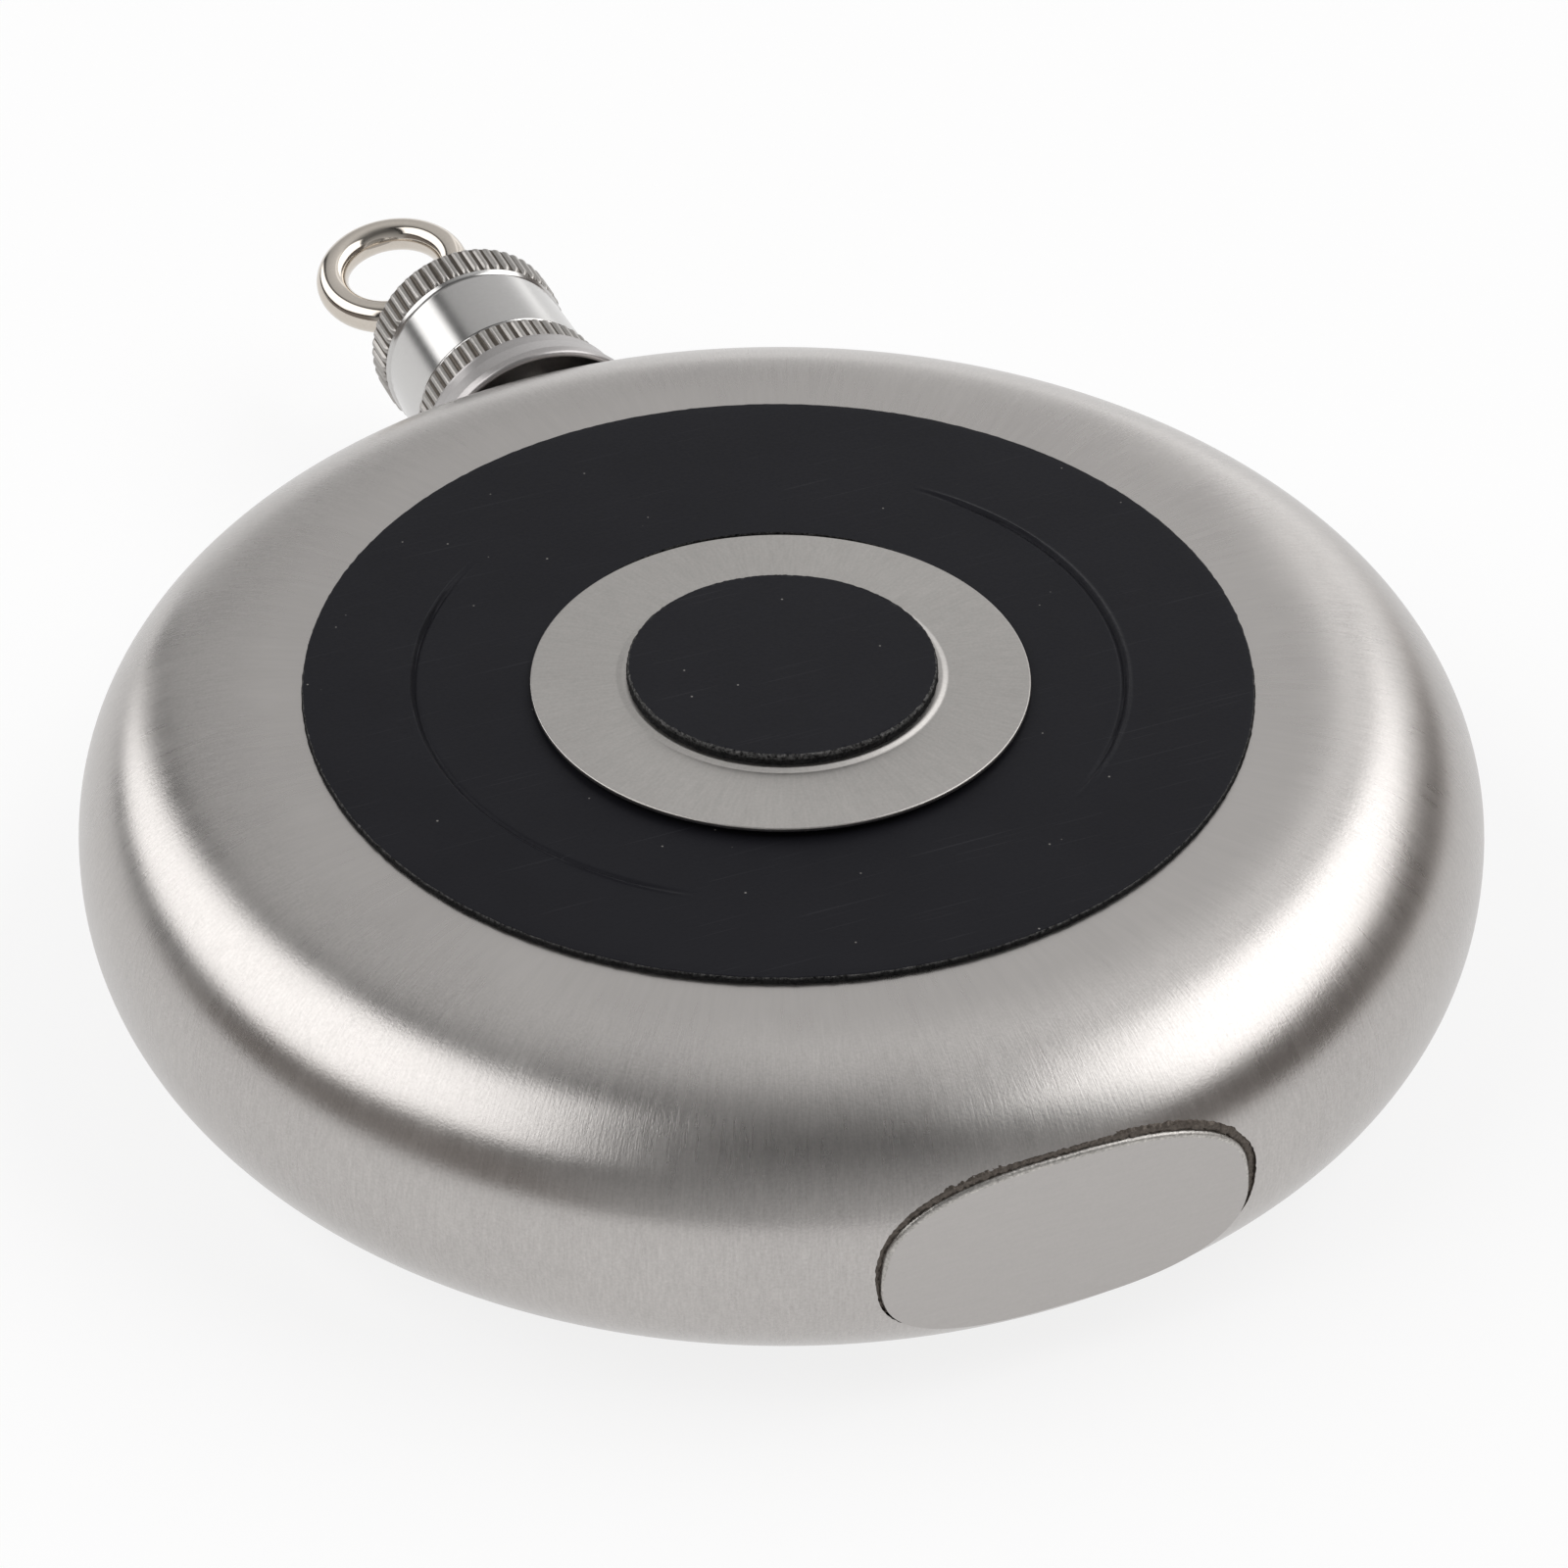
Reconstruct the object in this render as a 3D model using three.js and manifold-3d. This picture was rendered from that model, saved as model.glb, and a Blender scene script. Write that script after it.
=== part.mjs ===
// A round camping flask that lies on its back: a flat steel drum with a screw cap on its rim,
// and a collapsible drinking cup stowed under a lid in the middle of its front face.
// Millimetres, +Z up out of the front face, +Y towards the cap, origin at the middle of the rear face.
import * as THREE from 'three';
import { mergeVertices } from 'three/addons/utils/BufferGeometryUtils.js';
import Module from 'manifold-3d';

const wasm = await Module();
wasm.setup();

// Body: two pressed shells that meet at the mid-plane of the rim
const BODY_DIAMETER = 120;
const BODY_THICKNESS = 28.2;
const FACE_DIAMETER = 86.8;
const EDGE_POWER = 2.23;
const SHELL_WALL = 0.8;
const SEAM_GAP = 0.3;

// Flat oval foot let into the rim, opposite the neck
const FOOT_DEPTH = 2.3;
const FOOT_LENGTH = 31.8;
const FOOT_WIDTH = 15.5;
const FOOT_POWER = 2.6;
const FOOT_PLATE_THICKNESS = 1;
const FOOT_WINDOW_DEPTH = 6;

// Leatherette ring glued on the front face
const RING_THICKNESS = 0.75;
const RING_MARGIN = 3.2;
const RING_SETBACK = 0.4;
const RING_CHAMFER = 0.25;

// Collapsible cup: rings of one taper, the widest with a rolled mouth
const CUP_MOUTH_DIAMETER = 36.4;
const CUP_WALL = 0.5;
const CUP_TAPER = 0.06;
const CUP_FIT = 0.1;
const CUP_OVERLAP = 2.6;
const CUP_BEAD = 0.5;
const CUP_BEAD_HEIGHT = 1;
const CUP_MOUTH_DROP = 1;
const CUP_FLOOR_THICKNESS = 0.6;
const CUP_FLOOR_GAP = 0.1;

// Well that holds the stowed cup
const WELL_CLEARANCE = 0.35;
const WELL_WALL = 0.8;
const WELL_STANDOFF = 2;
const WELL_FLANGE = 3;
const WELL_CORNER = 0.8;

// Lid of the cup, with a round leatherette pad on its raised middle
const LID_OVERLAP = 1.6;
const LID_PLATE = 0.4;
const EMBOSS_DIAMETER = 28.8;
const EMBOSS_SLOPE = 0.7;
const EMBOSS_HEIGHT = 0.25;
const PAD_SETBACK = 0.43;
const PAD_THICKNESS = 0.85;
const PAD_CHAMFER = 0.3;
const PLUG_CLEARANCE = 0.3;
const PLUG_WALL = 0.5;
const PLUG_DEPTH = 3.4;
const PLUG_HEADROOM = 0.6;

// Neck: a threaded spout through the rim inside a flared collar
const SPOUT_BORE = 10;
const SPOUT_DIAMETER = 12.6;
const SPOUT_INSET = 3.5;
const SPOUT_HEIGHT = 12.5;
const SPOUT_LIP = 0.3;
const COLLAR_DIAMETER = 21.8;
const COLLAR_TOP_DIAMETER = 20.2;
const COLLAR_HEIGHT = 2.6;
const COLLAR_LIP = 0.7;
const COLLAR_DROP = 1.4;

// Right-hand screw thread of the spout and of the cap's liner
const THREAD_PITCH = 2.4;
const THREAD_DEPTH = 0.55;
const THREAD_ROOT = 1;
const THREAD_CREST = 0.55;
const THREAD_CLEARANCE = 0.2;
const THREAD_START = 5;
const THREAD_TURNS = 2.3;

// Screw cap: a turned shell with two knurled bands over a moulded liner and a sealing disc
const CAP_HEIGHT = 17.4;
const CAP_GAP = 0.3;
const CAP_WAIST_DIAMETER = 17.8;
const CAP_WALL = 0.6;
const CAP_HEAD_WALL = 0.7;
const CAP_TOP_WALL = 1.2;
const CAP_CHAMFER = 0.4;
const CAP_BEVEL = 0.7;
const TOP_BAND_DIAMETER = 18.5;
const TOP_BAND_HEIGHT = 3.7;
const LOW_BAND_DIAMETER = 18.7;
const LOW_BAND_HEIGHT = 4.1;
const KNURL_DEPTH = 0.35;
const KNURL_TEETH = 54;
const LINER_GAP = 0.1;
const LINER_RECESS = 0.3;
const LINER_CEILING = 1.2;
const GASKET_THICKNESS = 1.6;
const GASKET_GAP = 0.1;
const GASKET_EDGE_GAP = 0.2;

// Round-wire eye that swivels in the top of the cap, its loop leaning to one side and tipped
const EYE_DIAMETER = 11.9;
const EYE_WIRE = 2.9;
const EYE_REACH = 9.8;
const EYE_TIP = THREE.MathUtils.degToRad(6.7);
const EYE_LEAN = THREE.MathUtils.degToRad(17.6);
const EYE_ROLL = THREE.MathUtils.degToRad(10.7);
const SHANK_DIAMETER = 3.2;
const SHANK_CLEARANCE = 0.3;
const SHANK_TAIL = 0.4;
const SHOULDER_DIAMETER = 6.4;
const SHOULDER_THICKNESS = 1;
const WASHER_DIAMETER = 8;
const WASHER_THICKNESS = 1;
const SWIVEL_GAP = 0.2;

// Facets
const BODY_SEGMENTS = 54;
const EDGE_STEPS = 6;
const CUP_SEGMENTS = 36;
const NECK_SEGMENTS = 30;
const FOOT_STEPS = 36;
const THREAD_STEPS = 20;
const WIRE_SEGMENTS = 10;
const LOOP_SEGMENTS = 32;
const SHANK_SEGMENTS = 16;
const FLARE_STEPS = 4;

// Sizes that follow from the ones above
const bodyRadius = BODY_DIAMETER / 2;
const faceRadius = FACE_DIAMETER / 2;
const midHeight = BODY_THICKNESS / 2;
const edgeWidth = bodyRadius - faceRadius;

const mouthRadius = CUP_MOUTH_DIAMETER / 2;
const wellRadius = mouthRadius + CUP_BEAD + WELL_CLEARANCE;
const wellFloor = SHELL_WALL + WELL_STANDOFF + WELL_WALL;
const wellTop = BODY_THICKNESS - SHELL_WALL;

const ringTop = BODY_THICKNESS + RING_THICKNESS;
const ringInner = wellRadius + RING_SETBACK;
const ringOuter = faceRadius - RING_MARGIN;

const rimRingHeight = BODY_THICKNESS - CUP_MOUTH_DROP - wellFloor;
const plugBottom = BODY_THICKNESS - CUP_MOUTH_DROP - PLUG_DEPTH;
const cupRingHeight = plugBottom - PLUG_HEADROOM - wellFloor;
const cupTravel = cupRingHeight - CUP_OVERLAP;
const cupStep = CUP_WALL + CUP_TAPER * cupTravel + CUP_FIT;
const rimRingFoot = mouthRadius - CUP_TAPER * rimRingHeight;

const spoutRadius = SPOUT_DIAMETER / 2;
const boreRadius = SPOUT_BORE / 2;
const threadRadius = spoutRadius + THREAD_DEPTH;
const collarTop = bodyRadius + COLLAR_HEIGHT;
const spoutTop = bodyRadius + SPOUT_HEIGHT;
const capBottom = collarTop + CAP_GAP;
const capTop = capBottom + CAP_HEIGHT;
const capCeiling = capTop - CAP_TOP_WALL;
const capWaist = CAP_WAIST_DIAMETER / 2;
const capCavity = capWaist - CAP_WALL;
const linerBore = threadRadius + THREAD_CLEARANCE;
const gasketBottom = spoutTop + GASKET_GAP;
const linerCeiling = gasketBottom + GASKET_THICKNESS + GASKET_GAP;
const shankRadius = SHANK_DIAMETER / 2;
const shoulderBottom = capTop + SWIVEL_GAP;
const shoulderTop = shoulderBottom + SHOULDER_THICKNESS;
const washerTop = capCeiling - SWIVEL_GAP;
const washerBottom = washerTop - WASHER_THICKNESS;

// A geometry as a solid that can be joined and cut
function solidOf(geometry) {
  const bare = geometry.clone();
  bare.deleteAttribute('normal');
  bare.deleteAttribute('uv');
  const merged = mergeVertices(bare);
  const index = merged.index.array;
  const corners = [];
  for (let i = 0; i < index.length; i += 3) {
    const [a, b, c] = index.slice(i, i + 3);
    if (a !== b && b !== c && c !== a) {
      corners.push(a, b, c);
    }
  }
  return new wasm.Manifold(new wasm.Mesh({
    numProp: 3,
    vertProperties: new Float32Array(merged.attributes.position.array),
    triVerts: new Uint32Array(corners),
  }));
}

// A joined or cut solid as a geometry again
function geometryOf(solid) {
  const mesh = solid.getMesh();
  const geometry = new THREE.BufferGeometry();
  geometry.setAttribute('position', new THREE.BufferAttribute(mesh.vertProperties, 3));
  geometry.setIndex(new THREE.BufferAttribute(mesh.triVerts, 1));
  geometry.computeVertexNormals();
  return geometry;
}

// A profile of [radius, height] points turned about +Z, its faces pointing out
function turned(profile, segments) {
  const area = profile.reduce((sum, [radius, height], i) => {
    const [nextRadius, nextHeight] = profile[(i + 1) % profile.length];
    return sum + radius * nextHeight - nextRadius * height;
  }, 0);
  const ordered = area > 0 ? [...profile] : [...profile].reverse();
  if (ordered[0][0] > 0) {
    ordered.push(ordered[0]);
  }
  const points = ordered.map(([radius, height]) => new THREE.Vector2(radius, height));
  return new THREE.LatheGeometry(points, segments).rotateX(Math.PI / 2);
}

// A flat outline of [across, up] points pushed along +Y from a starting plane
function pushedAlongY(outline, start, depth) {
  const shape = new THREE.Shape(outline.map(([across, up]) => new THREE.Vector2(across, up)));
  return new THREE.ExtrudeGeometry(shape, { depth, bevelEnabled: false })
    .rotateX(-Math.PI / 2)
    .translate(0, start, midHeight);
}

// A geometry built about +Z, laid along the neck's axis
function alongNeck(geometry) {
  return geometry.rotateX(-Math.PI / 2).translate(0, 0, midHeight);
}

// The rounded edge from the rim up to the flat face, as [radius, height above the mid-plane]
function edgeArc(inset) {
  const points = [];
  for (let i = 0; i <= EDGE_STEPS; i += 1) {
    const angle = (Math.PI / 2) * (i / EDGE_STEPS);
    const out = i === EDGE_STEPS ? 0 : Math.cos(angle) ** (2 / EDGE_POWER);
    const up = Math.sin(angle) ** (2 / EDGE_POWER);
    points.push([faceRadius + (edgeWidth - inset) * out, (midHeight - inset) * up]);
  }
  return points;
}

// One pressed half of the body above its mid-plane, with a round hole in its face or none
function halfShell(holeRadius) {
  const outside = [...edgeArc(0), [holeRadius, midHeight]];
  const inside = [...edgeArc(SHELL_WALL), [holeRadius, midHeight - SHELL_WALL]];
  return turned([...outside.reverse(), ...inside], BODY_SEGMENTS);
}

// The body's outside as a solid, grown by a gap
function grownBody(gap) {
  const upper = edgeArc(-gap);
  const lower = upper.slice(1).map(([radius, height]) => [radius, -height]).reverse();
  const half = midHeight + gap;
  const drum = turned([[0, -half], ...lower, ...upper, [0, half]], BODY_SEGMENTS);
  return solidOf(drum.translate(0, 0, midHeight));
}

// The foot's outline, between an oval and a rectangle, widened by a gap all round
function footOutline(gap) {
  const reach = (share, half) => (half + gap) * Math.sign(share) * Math.abs(share) ** (2 / FOOT_POWER);
  const points = [];
  for (let i = 0; i < FOOT_STEPS; i += 1) {
    const angle = 2 * Math.PI * (i / FOOT_STEPS);
    points.push([reach(Math.cos(angle), FOOT_LENGTH / 2), reach(Math.sin(angle), FOOT_WIDTH / 2)]);
  }
  return points;
}

// A right-hand helical ridge about +Z, from its root radius to its crest radius; it starts a quarter
// facet round, so that its corners keep off the edges of the tube it stands on
function threadRidge(rootRadius, crestRadius, start) {
  const section = [
    [rootRadius, -THREAD_ROOT / 2],
    [crestRadius, -THREAD_CREST / 2],
    [crestRadius, THREAD_CREST / 2],
    [rootRadius, THREAD_ROOT / 2],
  ];
  const sides = section.length;
  const quarterFacet = Math.PI / (2 * NECK_SEGMENTS);
  const steps = Math.round(THREAD_TURNS * THREAD_STEPS);
  const positions = [];
  const index = [];
  for (let i = 0; i <= steps; i += 1) {
    const turn = i / THREAD_STEPS;
    const angle = 2 * Math.PI * turn + quarterFacet;
    for (const [radius, offset] of section) {
      positions.push(radius * Math.cos(angle), radius * Math.sin(angle), start + THREAD_PITCH * turn + offset);
    }
  }
  for (let i = 0; i < steps; i += 1) {
    for (let side = 0; side < sides; side += 1) {
      const a = i * sides + side;
      const b = i * sides + ((side + 1) % sides);
      index.push(a, a + sides, b, b, a + sides, b + sides);
    }
  }
  const last = steps * sides;
  index.push(0, 1, 2, 0, 2, 3);
  index.push(last, last + 2, last + 1, last, last + 3, last + 2);
  if (crestRadius < rootRadius) {
    index.reverse();
  }
  const geometry = new THREE.BufferGeometry();
  geometry.setAttribute('position', new THREE.BufferAttribute(new Float32Array(positions), 3));
  geometry.setIndex(index);
  return geometry;
}

// A band of straight knurling: pointed teeth round a ring that starts at a height on +Z
function knurledBand(diameter, coreRadius, start, height) {
  const shape = new THREE.Shape();
  const hole = new THREE.Path();
  for (let i = 0; i < 2 * KNURL_TEETH; i += 1) {
    const angle = Math.PI * (i / KNURL_TEETH);
    const radius = diameter / 2 - (i % 2) * KNURL_DEPTH;
    const place = i === 0 ? 'moveTo' : 'lineTo';
    shape[place](radius * Math.cos(angle), radius * Math.sin(angle));
    hole[place](coreRadius * Math.cos(angle), coreRadius * Math.sin(angle));
  }
  shape.closePath();
  hole.closePath();
  shape.holes.push(hole);
  return new THREE.ExtrudeGeometry(shape, { depth: height, bevelEnabled: false }).translate(0, 0, start);
}

const flask = new THREE.Group();

function add(name, geometry, finish) {
  const mesh = new THREE.Mesh(geometry, new THREE.MeshStandardMaterial(finish));
  mesh.name = name;
  flask.add(mesh);
}

const BRUSHED_STEEL = { color: 0xb4afa7, roughness: 0.42, metalness: 1 };
const BRIGHT_STEEL = { color: 0xc6c2bc, roughness: 0.25, metalness: 1 };
const CHROME = { color: 0xc8c7c5, roughness: 0.16, metalness: 1 };
const NICKEL = { color: 0xcbc3b8, roughness: 0.1, metalness: 1 };
const LEATHERETTE = { color: 0x29292d, roughness: 0.5, metalness: 0 };
const MOULDED_LINER = { color: 0x2b2b2c, roughness: 0.45, metalness: 0 };
const SILICONE = { color: 0xd5d3cc, roughness: 0.6, metalness: 0 };

// Shells: the rim is opened for the neck and for the foot, half in each shell
const neckHole = solidOf(alongNeck(turned([
  [0, bodyRadius - SPOUT_INSET - edgeWidth / 2],
  [spoutRadius + SEAM_GAP, bodyRadius - SPOUT_INSET - edgeWidth / 2],
  [spoutRadius + SEAM_GAP, collarTop],
  [0, collarTop],
], NECK_SEGMENTS)));
const footWindow = solidOf(pushedAlongY(footOutline(SEAM_GAP), -collarTop, COLLAR_HEIGHT + FOOT_WINDOW_DEPTH));

function openedShell(geometry) {
  return geometryOf(solidOf(geometry).subtract(neckHole).subtract(footWindow));
}

add('front_shell', openedShell(halfShell(wellRadius).translate(0, 0, midHeight)), BRUSHED_STEEL);
add('rear_shell', openedShell(halfShell(0).rotateX(Math.PI).translate(0, 0, midHeight)), BRUSHED_STEEL);

// Foot plate, its outer face in the plane that cuts the rim
add('foot_plate', pushedAlongY(footOutline(0), FOOT_DEPTH - bodyRadius, FOOT_PLATE_THICKNESS), BRUSHED_STEEL);

// Well: a deep pan whose flange lies against the inside of the front face
add('cup_well', turned([
  [0, wellFloor - WELL_WALL],
  [wellRadius + WELL_WALL - WELL_CORNER, wellFloor - WELL_WALL],
  [wellRadius + WELL_WALL, wellFloor - WELL_WALL + WELL_CORNER],
  [wellRadius + WELL_WALL, wellTop - WELL_WALL],
  [wellRadius + WELL_FLANGE, wellTop - WELL_WALL],
  [wellRadius + WELL_FLANGE, wellTop],
  [wellRadius, wellTop],
  [wellRadius, wellFloor],
  [0, wellFloor],
], BODY_SEGMENTS), BRUSHED_STEEL);

// Leatherette ring on the front face, its cut edges eased
add('face_ring', turned([
  [ringInner, BODY_THICKNESS],
  [ringOuter, BODY_THICKNESS],
  [ringOuter, ringTop - RING_CHAMFER],
  [ringOuter - RING_CHAMFER, ringTop],
  [ringInner, ringTop],
], BODY_SEGMENTS), LEATHERETTE);

// Cup rings, from the narrowest to the widest; each stands on the floor of the well
const CUP_RINGS = ['cup_base_ring', 'cup_lower_ring', 'cup_upper_ring'];
CUP_RINGS.forEach((name, i) => {
  const footRadius = rimRingFoot - cupStep * (CUP_RINGS.length - i);
  const topRadius = footRadius + CUP_TAPER * cupRingHeight;
  add(name, turned([
    [footRadius - CUP_WALL, wellFloor],
    [footRadius, wellFloor],
    [topRadius, wellFloor + cupRingHeight],
    [topRadius - CUP_WALL, wellFloor + cupRingHeight],
  ], CUP_SEGMENTS), BRIGHT_STEEL);
});

const cupMouth = wellFloor + rimRingHeight;
const beadFoot = cupMouth - CUP_BEAD_HEIGHT;
add('cup_rim_ring', turned([
  [rimRingFoot - CUP_WALL, wellFloor],
  [rimRingFoot, wellFloor],
  [mouthRadius - CUP_TAPER * CUP_BEAD_HEIGHT, beadFoot],
  [mouthRadius + CUP_BEAD, beadFoot + CUP_BEAD / 2],
  [mouthRadius + CUP_BEAD, cupMouth - CUP_BEAD / 2],
  [mouthRadius, cupMouth],
  [mouthRadius - CUP_WALL, cupMouth],
], CUP_SEGMENTS), BRIGHT_STEEL);

// Disc that closes the bottom of the narrowest ring
const baseRingInner = rimRingFoot - cupStep * CUP_RINGS.length - CUP_WALL;
add('cup_floor', turned([
  [0, wellFloor],
  [baseRingInner - CUP_FLOOR_GAP, wellFloor],
  [baseRingInner - CUP_FLOOR_GAP, wellFloor + CUP_FLOOR_THICKNESS],
  [0, wellFloor + CUP_FLOOR_THICKNESS],
], CUP_SEGMENTS), BRIGHT_STEEL);

// Lid: its flange lies on the leatherette ring and its plug stands in the mouth of the cup
const lidTop = ringTop + LID_PLATE;
const lidRadius = ringInner + LID_OVERLAP;
const embossRadius = EMBOSS_DIAMETER / 2;
const embossTopRadius = embossRadius - EMBOSS_SLOPE;
const embossTop = lidTop + EMBOSS_HEIGHT;
const plugRadius = mouthRadius - CUP_TAPER * PLUG_DEPTH - CUP_WALL - PLUG_CLEARANCE;
add('cup_lid', turned([
  [0, embossTop - LID_PLATE],
  [embossTopRadius, embossTop - LID_PLATE],
  [embossRadius, ringTop],
  [plugRadius - PLUG_WALL, ringTop],
  [plugRadius - PLUG_WALL, plugBottom],
  [plugRadius, plugBottom],
  [plugRadius, ringTop],
  [lidRadius, ringTop],
  [lidRadius, lidTop],
  [embossRadius, lidTop],
  [embossTopRadius, embossTop],
  [0, embossTop],
], CUP_SEGMENTS), BRIGHT_STEEL);

const padRadius = embossTopRadius - PAD_SETBACK;
add('lid_pad', turned([
  [0, embossTop],
  [padRadius, embossTop],
  [padRadius, embossTop + PAD_THICKNESS - PAD_CHAMFER],
  [padRadius - PAD_CHAMFER, embossTop + PAD_THICKNESS],
  [0, embossTop + PAD_THICKNESS],
], CUP_SEGMENTS), LEATHERETTE);

// Spout: a tube through the rim with its thread above the collar
const spoutTube = turned([
  [boreRadius, bodyRadius - SPOUT_INSET],
  [spoutRadius, bodyRadius - SPOUT_INSET],
  [spoutRadius, spoutTop - SPOUT_LIP],
  [spoutRadius - SPOUT_LIP, spoutTop],
  [boreRadius, spoutTop],
], NECK_SEGMENTS);
const threadFoot = bodyRadius + THREAD_START;
const spoutRidge = threadRidge((spoutRadius + boreRadius) / 2, threadRadius, threadFoot);
add('neck_spout', alongNeck(geometryOf(solidOf(spoutTube).add(solidOf(spoutRidge)))), BRIGHT_STEEL);

// Collar: a flared ring over the rim, hollow underneath, its lip cut to the curve of the body
const collarRadius = COLLAR_DIAMETER / 2;
const collarLip = Math.sqrt(bodyRadius ** 2 - collarRadius ** 2) + SEAM_GAP;
const collarFloor = bodyRadius + SEAM_GAP;
const collarSpread = collarRadius - COLLAR_TOP_DIAMETER / 2;
const flare = [];
for (let i = 0; i <= FLARE_STEPS; i += 1) {
  const angle = (Math.PI / 2) * (i / FLARE_STEPS);
  const out = collarRadius - collarSpread * Math.sin(angle);
  const up = collarTop - (collarTop - collarLip - COLLAR_LIP) * Math.cos(angle);
  flare.push([out, up]);
}
const collarBlank = alongNeck(turned([
  [spoutRadius + SEAM_GAP, collarFloor],
  [collarRadius - 2 * COLLAR_LIP, collarFloor],
  [collarRadius - COLLAR_LIP, collarLip],
  [collarRadius - COLLAR_LIP, collarLip - COLLAR_DROP],
  [collarRadius, collarLip - COLLAR_DROP],
  ...flare,
  [spoutRadius + SEAM_GAP, collarTop],
], NECK_SEGMENTS));
add('neck_collar', geometryOf(solidOf(collarBlank).subtract(grownBody(SEAM_GAP))), CHROME);

// Sealing disc in the cap, over the mouth of the spout
const gasketRadius = linerBore - GASKET_EDGE_GAP;
add('cap_gasket', alongNeck(turned([
  [0, gasketBottom],
  [gasketRadius, gasketBottom],
  [gasketRadius, gasketBottom + GASKET_THICKNESS],
  [0, gasketBottom + GASKET_THICKNESS],
], NECK_SEGMENTS)), SILICONE);

// Liner: a moulded sleeve with the cap's own thread, half a pitch from the spout's
const linerRadius = capCavity - LINER_GAP;
const linerFoot = capBottom + LINER_RECESS;
const linerSleeve = turned([
  [0, linerCeiling],
  [linerBore, linerCeiling],
  [linerBore, linerFoot],
  [linerRadius, linerFoot],
  [linerRadius, linerCeiling + LINER_CEILING],
  [0, linerCeiling + LINER_CEILING],
], NECK_SEGMENTS);
const linerRidge = threadRidge(
  (linerBore + linerRadius) / 2,
  spoutRadius + THREAD_CLEARANCE,
  threadFoot - THREAD_PITCH / 2,
);
add('cap_liner', alongNeck(geometryOf(solidOf(linerSleeve).add(solidOf(linerRidge)))), MOULDED_LINER);

// Cap shell: a thin cup with a hole in its top for the eye and two knurled bands
const topBandCore = TOP_BAND_DIAMETER / 2 - KNURL_DEPTH;
const lowBandCore = LOW_BAND_DIAMETER / 2 - KNURL_DEPTH;
const topBandFoot = capTop - CAP_CHAMFER - TOP_BAND_HEIGHT;
const headCavity = topBandCore - CAP_HEAD_WALL;
const capShell = turned([
  [capCavity, capBottom],
  [lowBandCore, capBottom],
  [lowBandCore, capBottom + LOW_BAND_HEIGHT],
  [capWaist, capBottom + LOW_BAND_HEIGHT],
  [capWaist, topBandFoot - CAP_BEVEL],
  [topBandCore, topBandFoot],
  [topBandCore, capTop - CAP_CHAMFER],
  [topBandCore - CAP_CHAMFER, capTop],
  [shankRadius + SHANK_CLEARANCE, capTop],
  [shankRadius + SHANK_CLEARANCE, capCeiling],
  [headCavity, capCeiling],
  [headCavity, topBandFoot],
  [capCavity, topBandFoot - CAP_BEVEL],
], NECK_SEGMENTS);
const topBandRoot = (topBandCore + headCavity) / 2;
const lowBandRoot = (lowBandCore + capCavity) / 2;
const knurledCap = solidOf(capShell)
  .add(solidOf(knurledBand(TOP_BAND_DIAMETER, topBandRoot, topBandFoot, TOP_BAND_HEIGHT)))
  .add(solidOf(knurledBand(LOW_BAND_DIAMETER, lowBandRoot, capBottom, LOW_BAND_HEIGHT)));
add('cap_shell', alongNeck(geometryOf(knurledCap)), CHROME);

// Eye: a shank through the top of the cap, a shoulder on it, and a leaning stem with the loop
const eyeShank = turned([
  [0, washerBottom - SHANK_TAIL],
  [shankRadius, washerBottom - SHANK_TAIL],
  [shankRadius, shoulderBottom],
  [SHOULDER_DIAMETER / 2, shoulderBottom],
  [SHOULDER_DIAMETER / 2, shoulderTop],
  [0, shoulderTop],
], SHANK_SEGMENTS);
const eyeStem = turned([
  [0, -SHOULDER_THICKNESS / 2],
  [shankRadius, -SHOULDER_THICKNESS / 2],
  [shankRadius, EYE_REACH - EYE_DIAMETER / 2],
  [0, EYE_REACH - EYE_DIAMETER / 2],
], SHANK_SEGMENTS);
const eyeLoop = new THREE.TorusGeometry(EYE_DIAMETER / 2, EYE_WIRE / 2, WIRE_SEGMENTS, LOOP_SEGMENTS)
  .rotateX(Math.PI / 2)
  .translate(0, 0, EYE_REACH);
const leaning = [eyeStem, eyeLoop].map((piece) => (
  piece.rotateX(EYE_TIP).rotateY(-EYE_LEAN).translate(0, 0, shoulderTop)
));
const eye = leaning.reduce((whole, piece) => whole.add(solidOf(piece)), solidOf(eyeShank));
add('cap_eye', alongNeck(geometryOf(eye).rotateZ(-EYE_ROLL)), NICKEL);

// Washer that keeps the shank in the cap
add('eye_washer', alongNeck(turned([
  [shankRadius + SWIVEL_GAP, washerBottom],
  [WASHER_DIAMETER / 2, washerBottom],
  [WASHER_DIAMETER / 2, washerTop],
  [shankRadius + SWIVEL_GAP, washerTop],
], SHANK_SEGMENTS)), BRIGHT_STEEL);

export default flask;
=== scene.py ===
"""The looks of a round camping flask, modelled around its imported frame.

Sizes are millimetres in the flask's own frame: +Z out of the front face, +Y towards the cap, the rear
face at z = 0. Each mesh is scaled to metres when it becomes a piece.
"""
import math

import bmesh
import bpy
from mathutils import Matrix, Vector, noise


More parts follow.
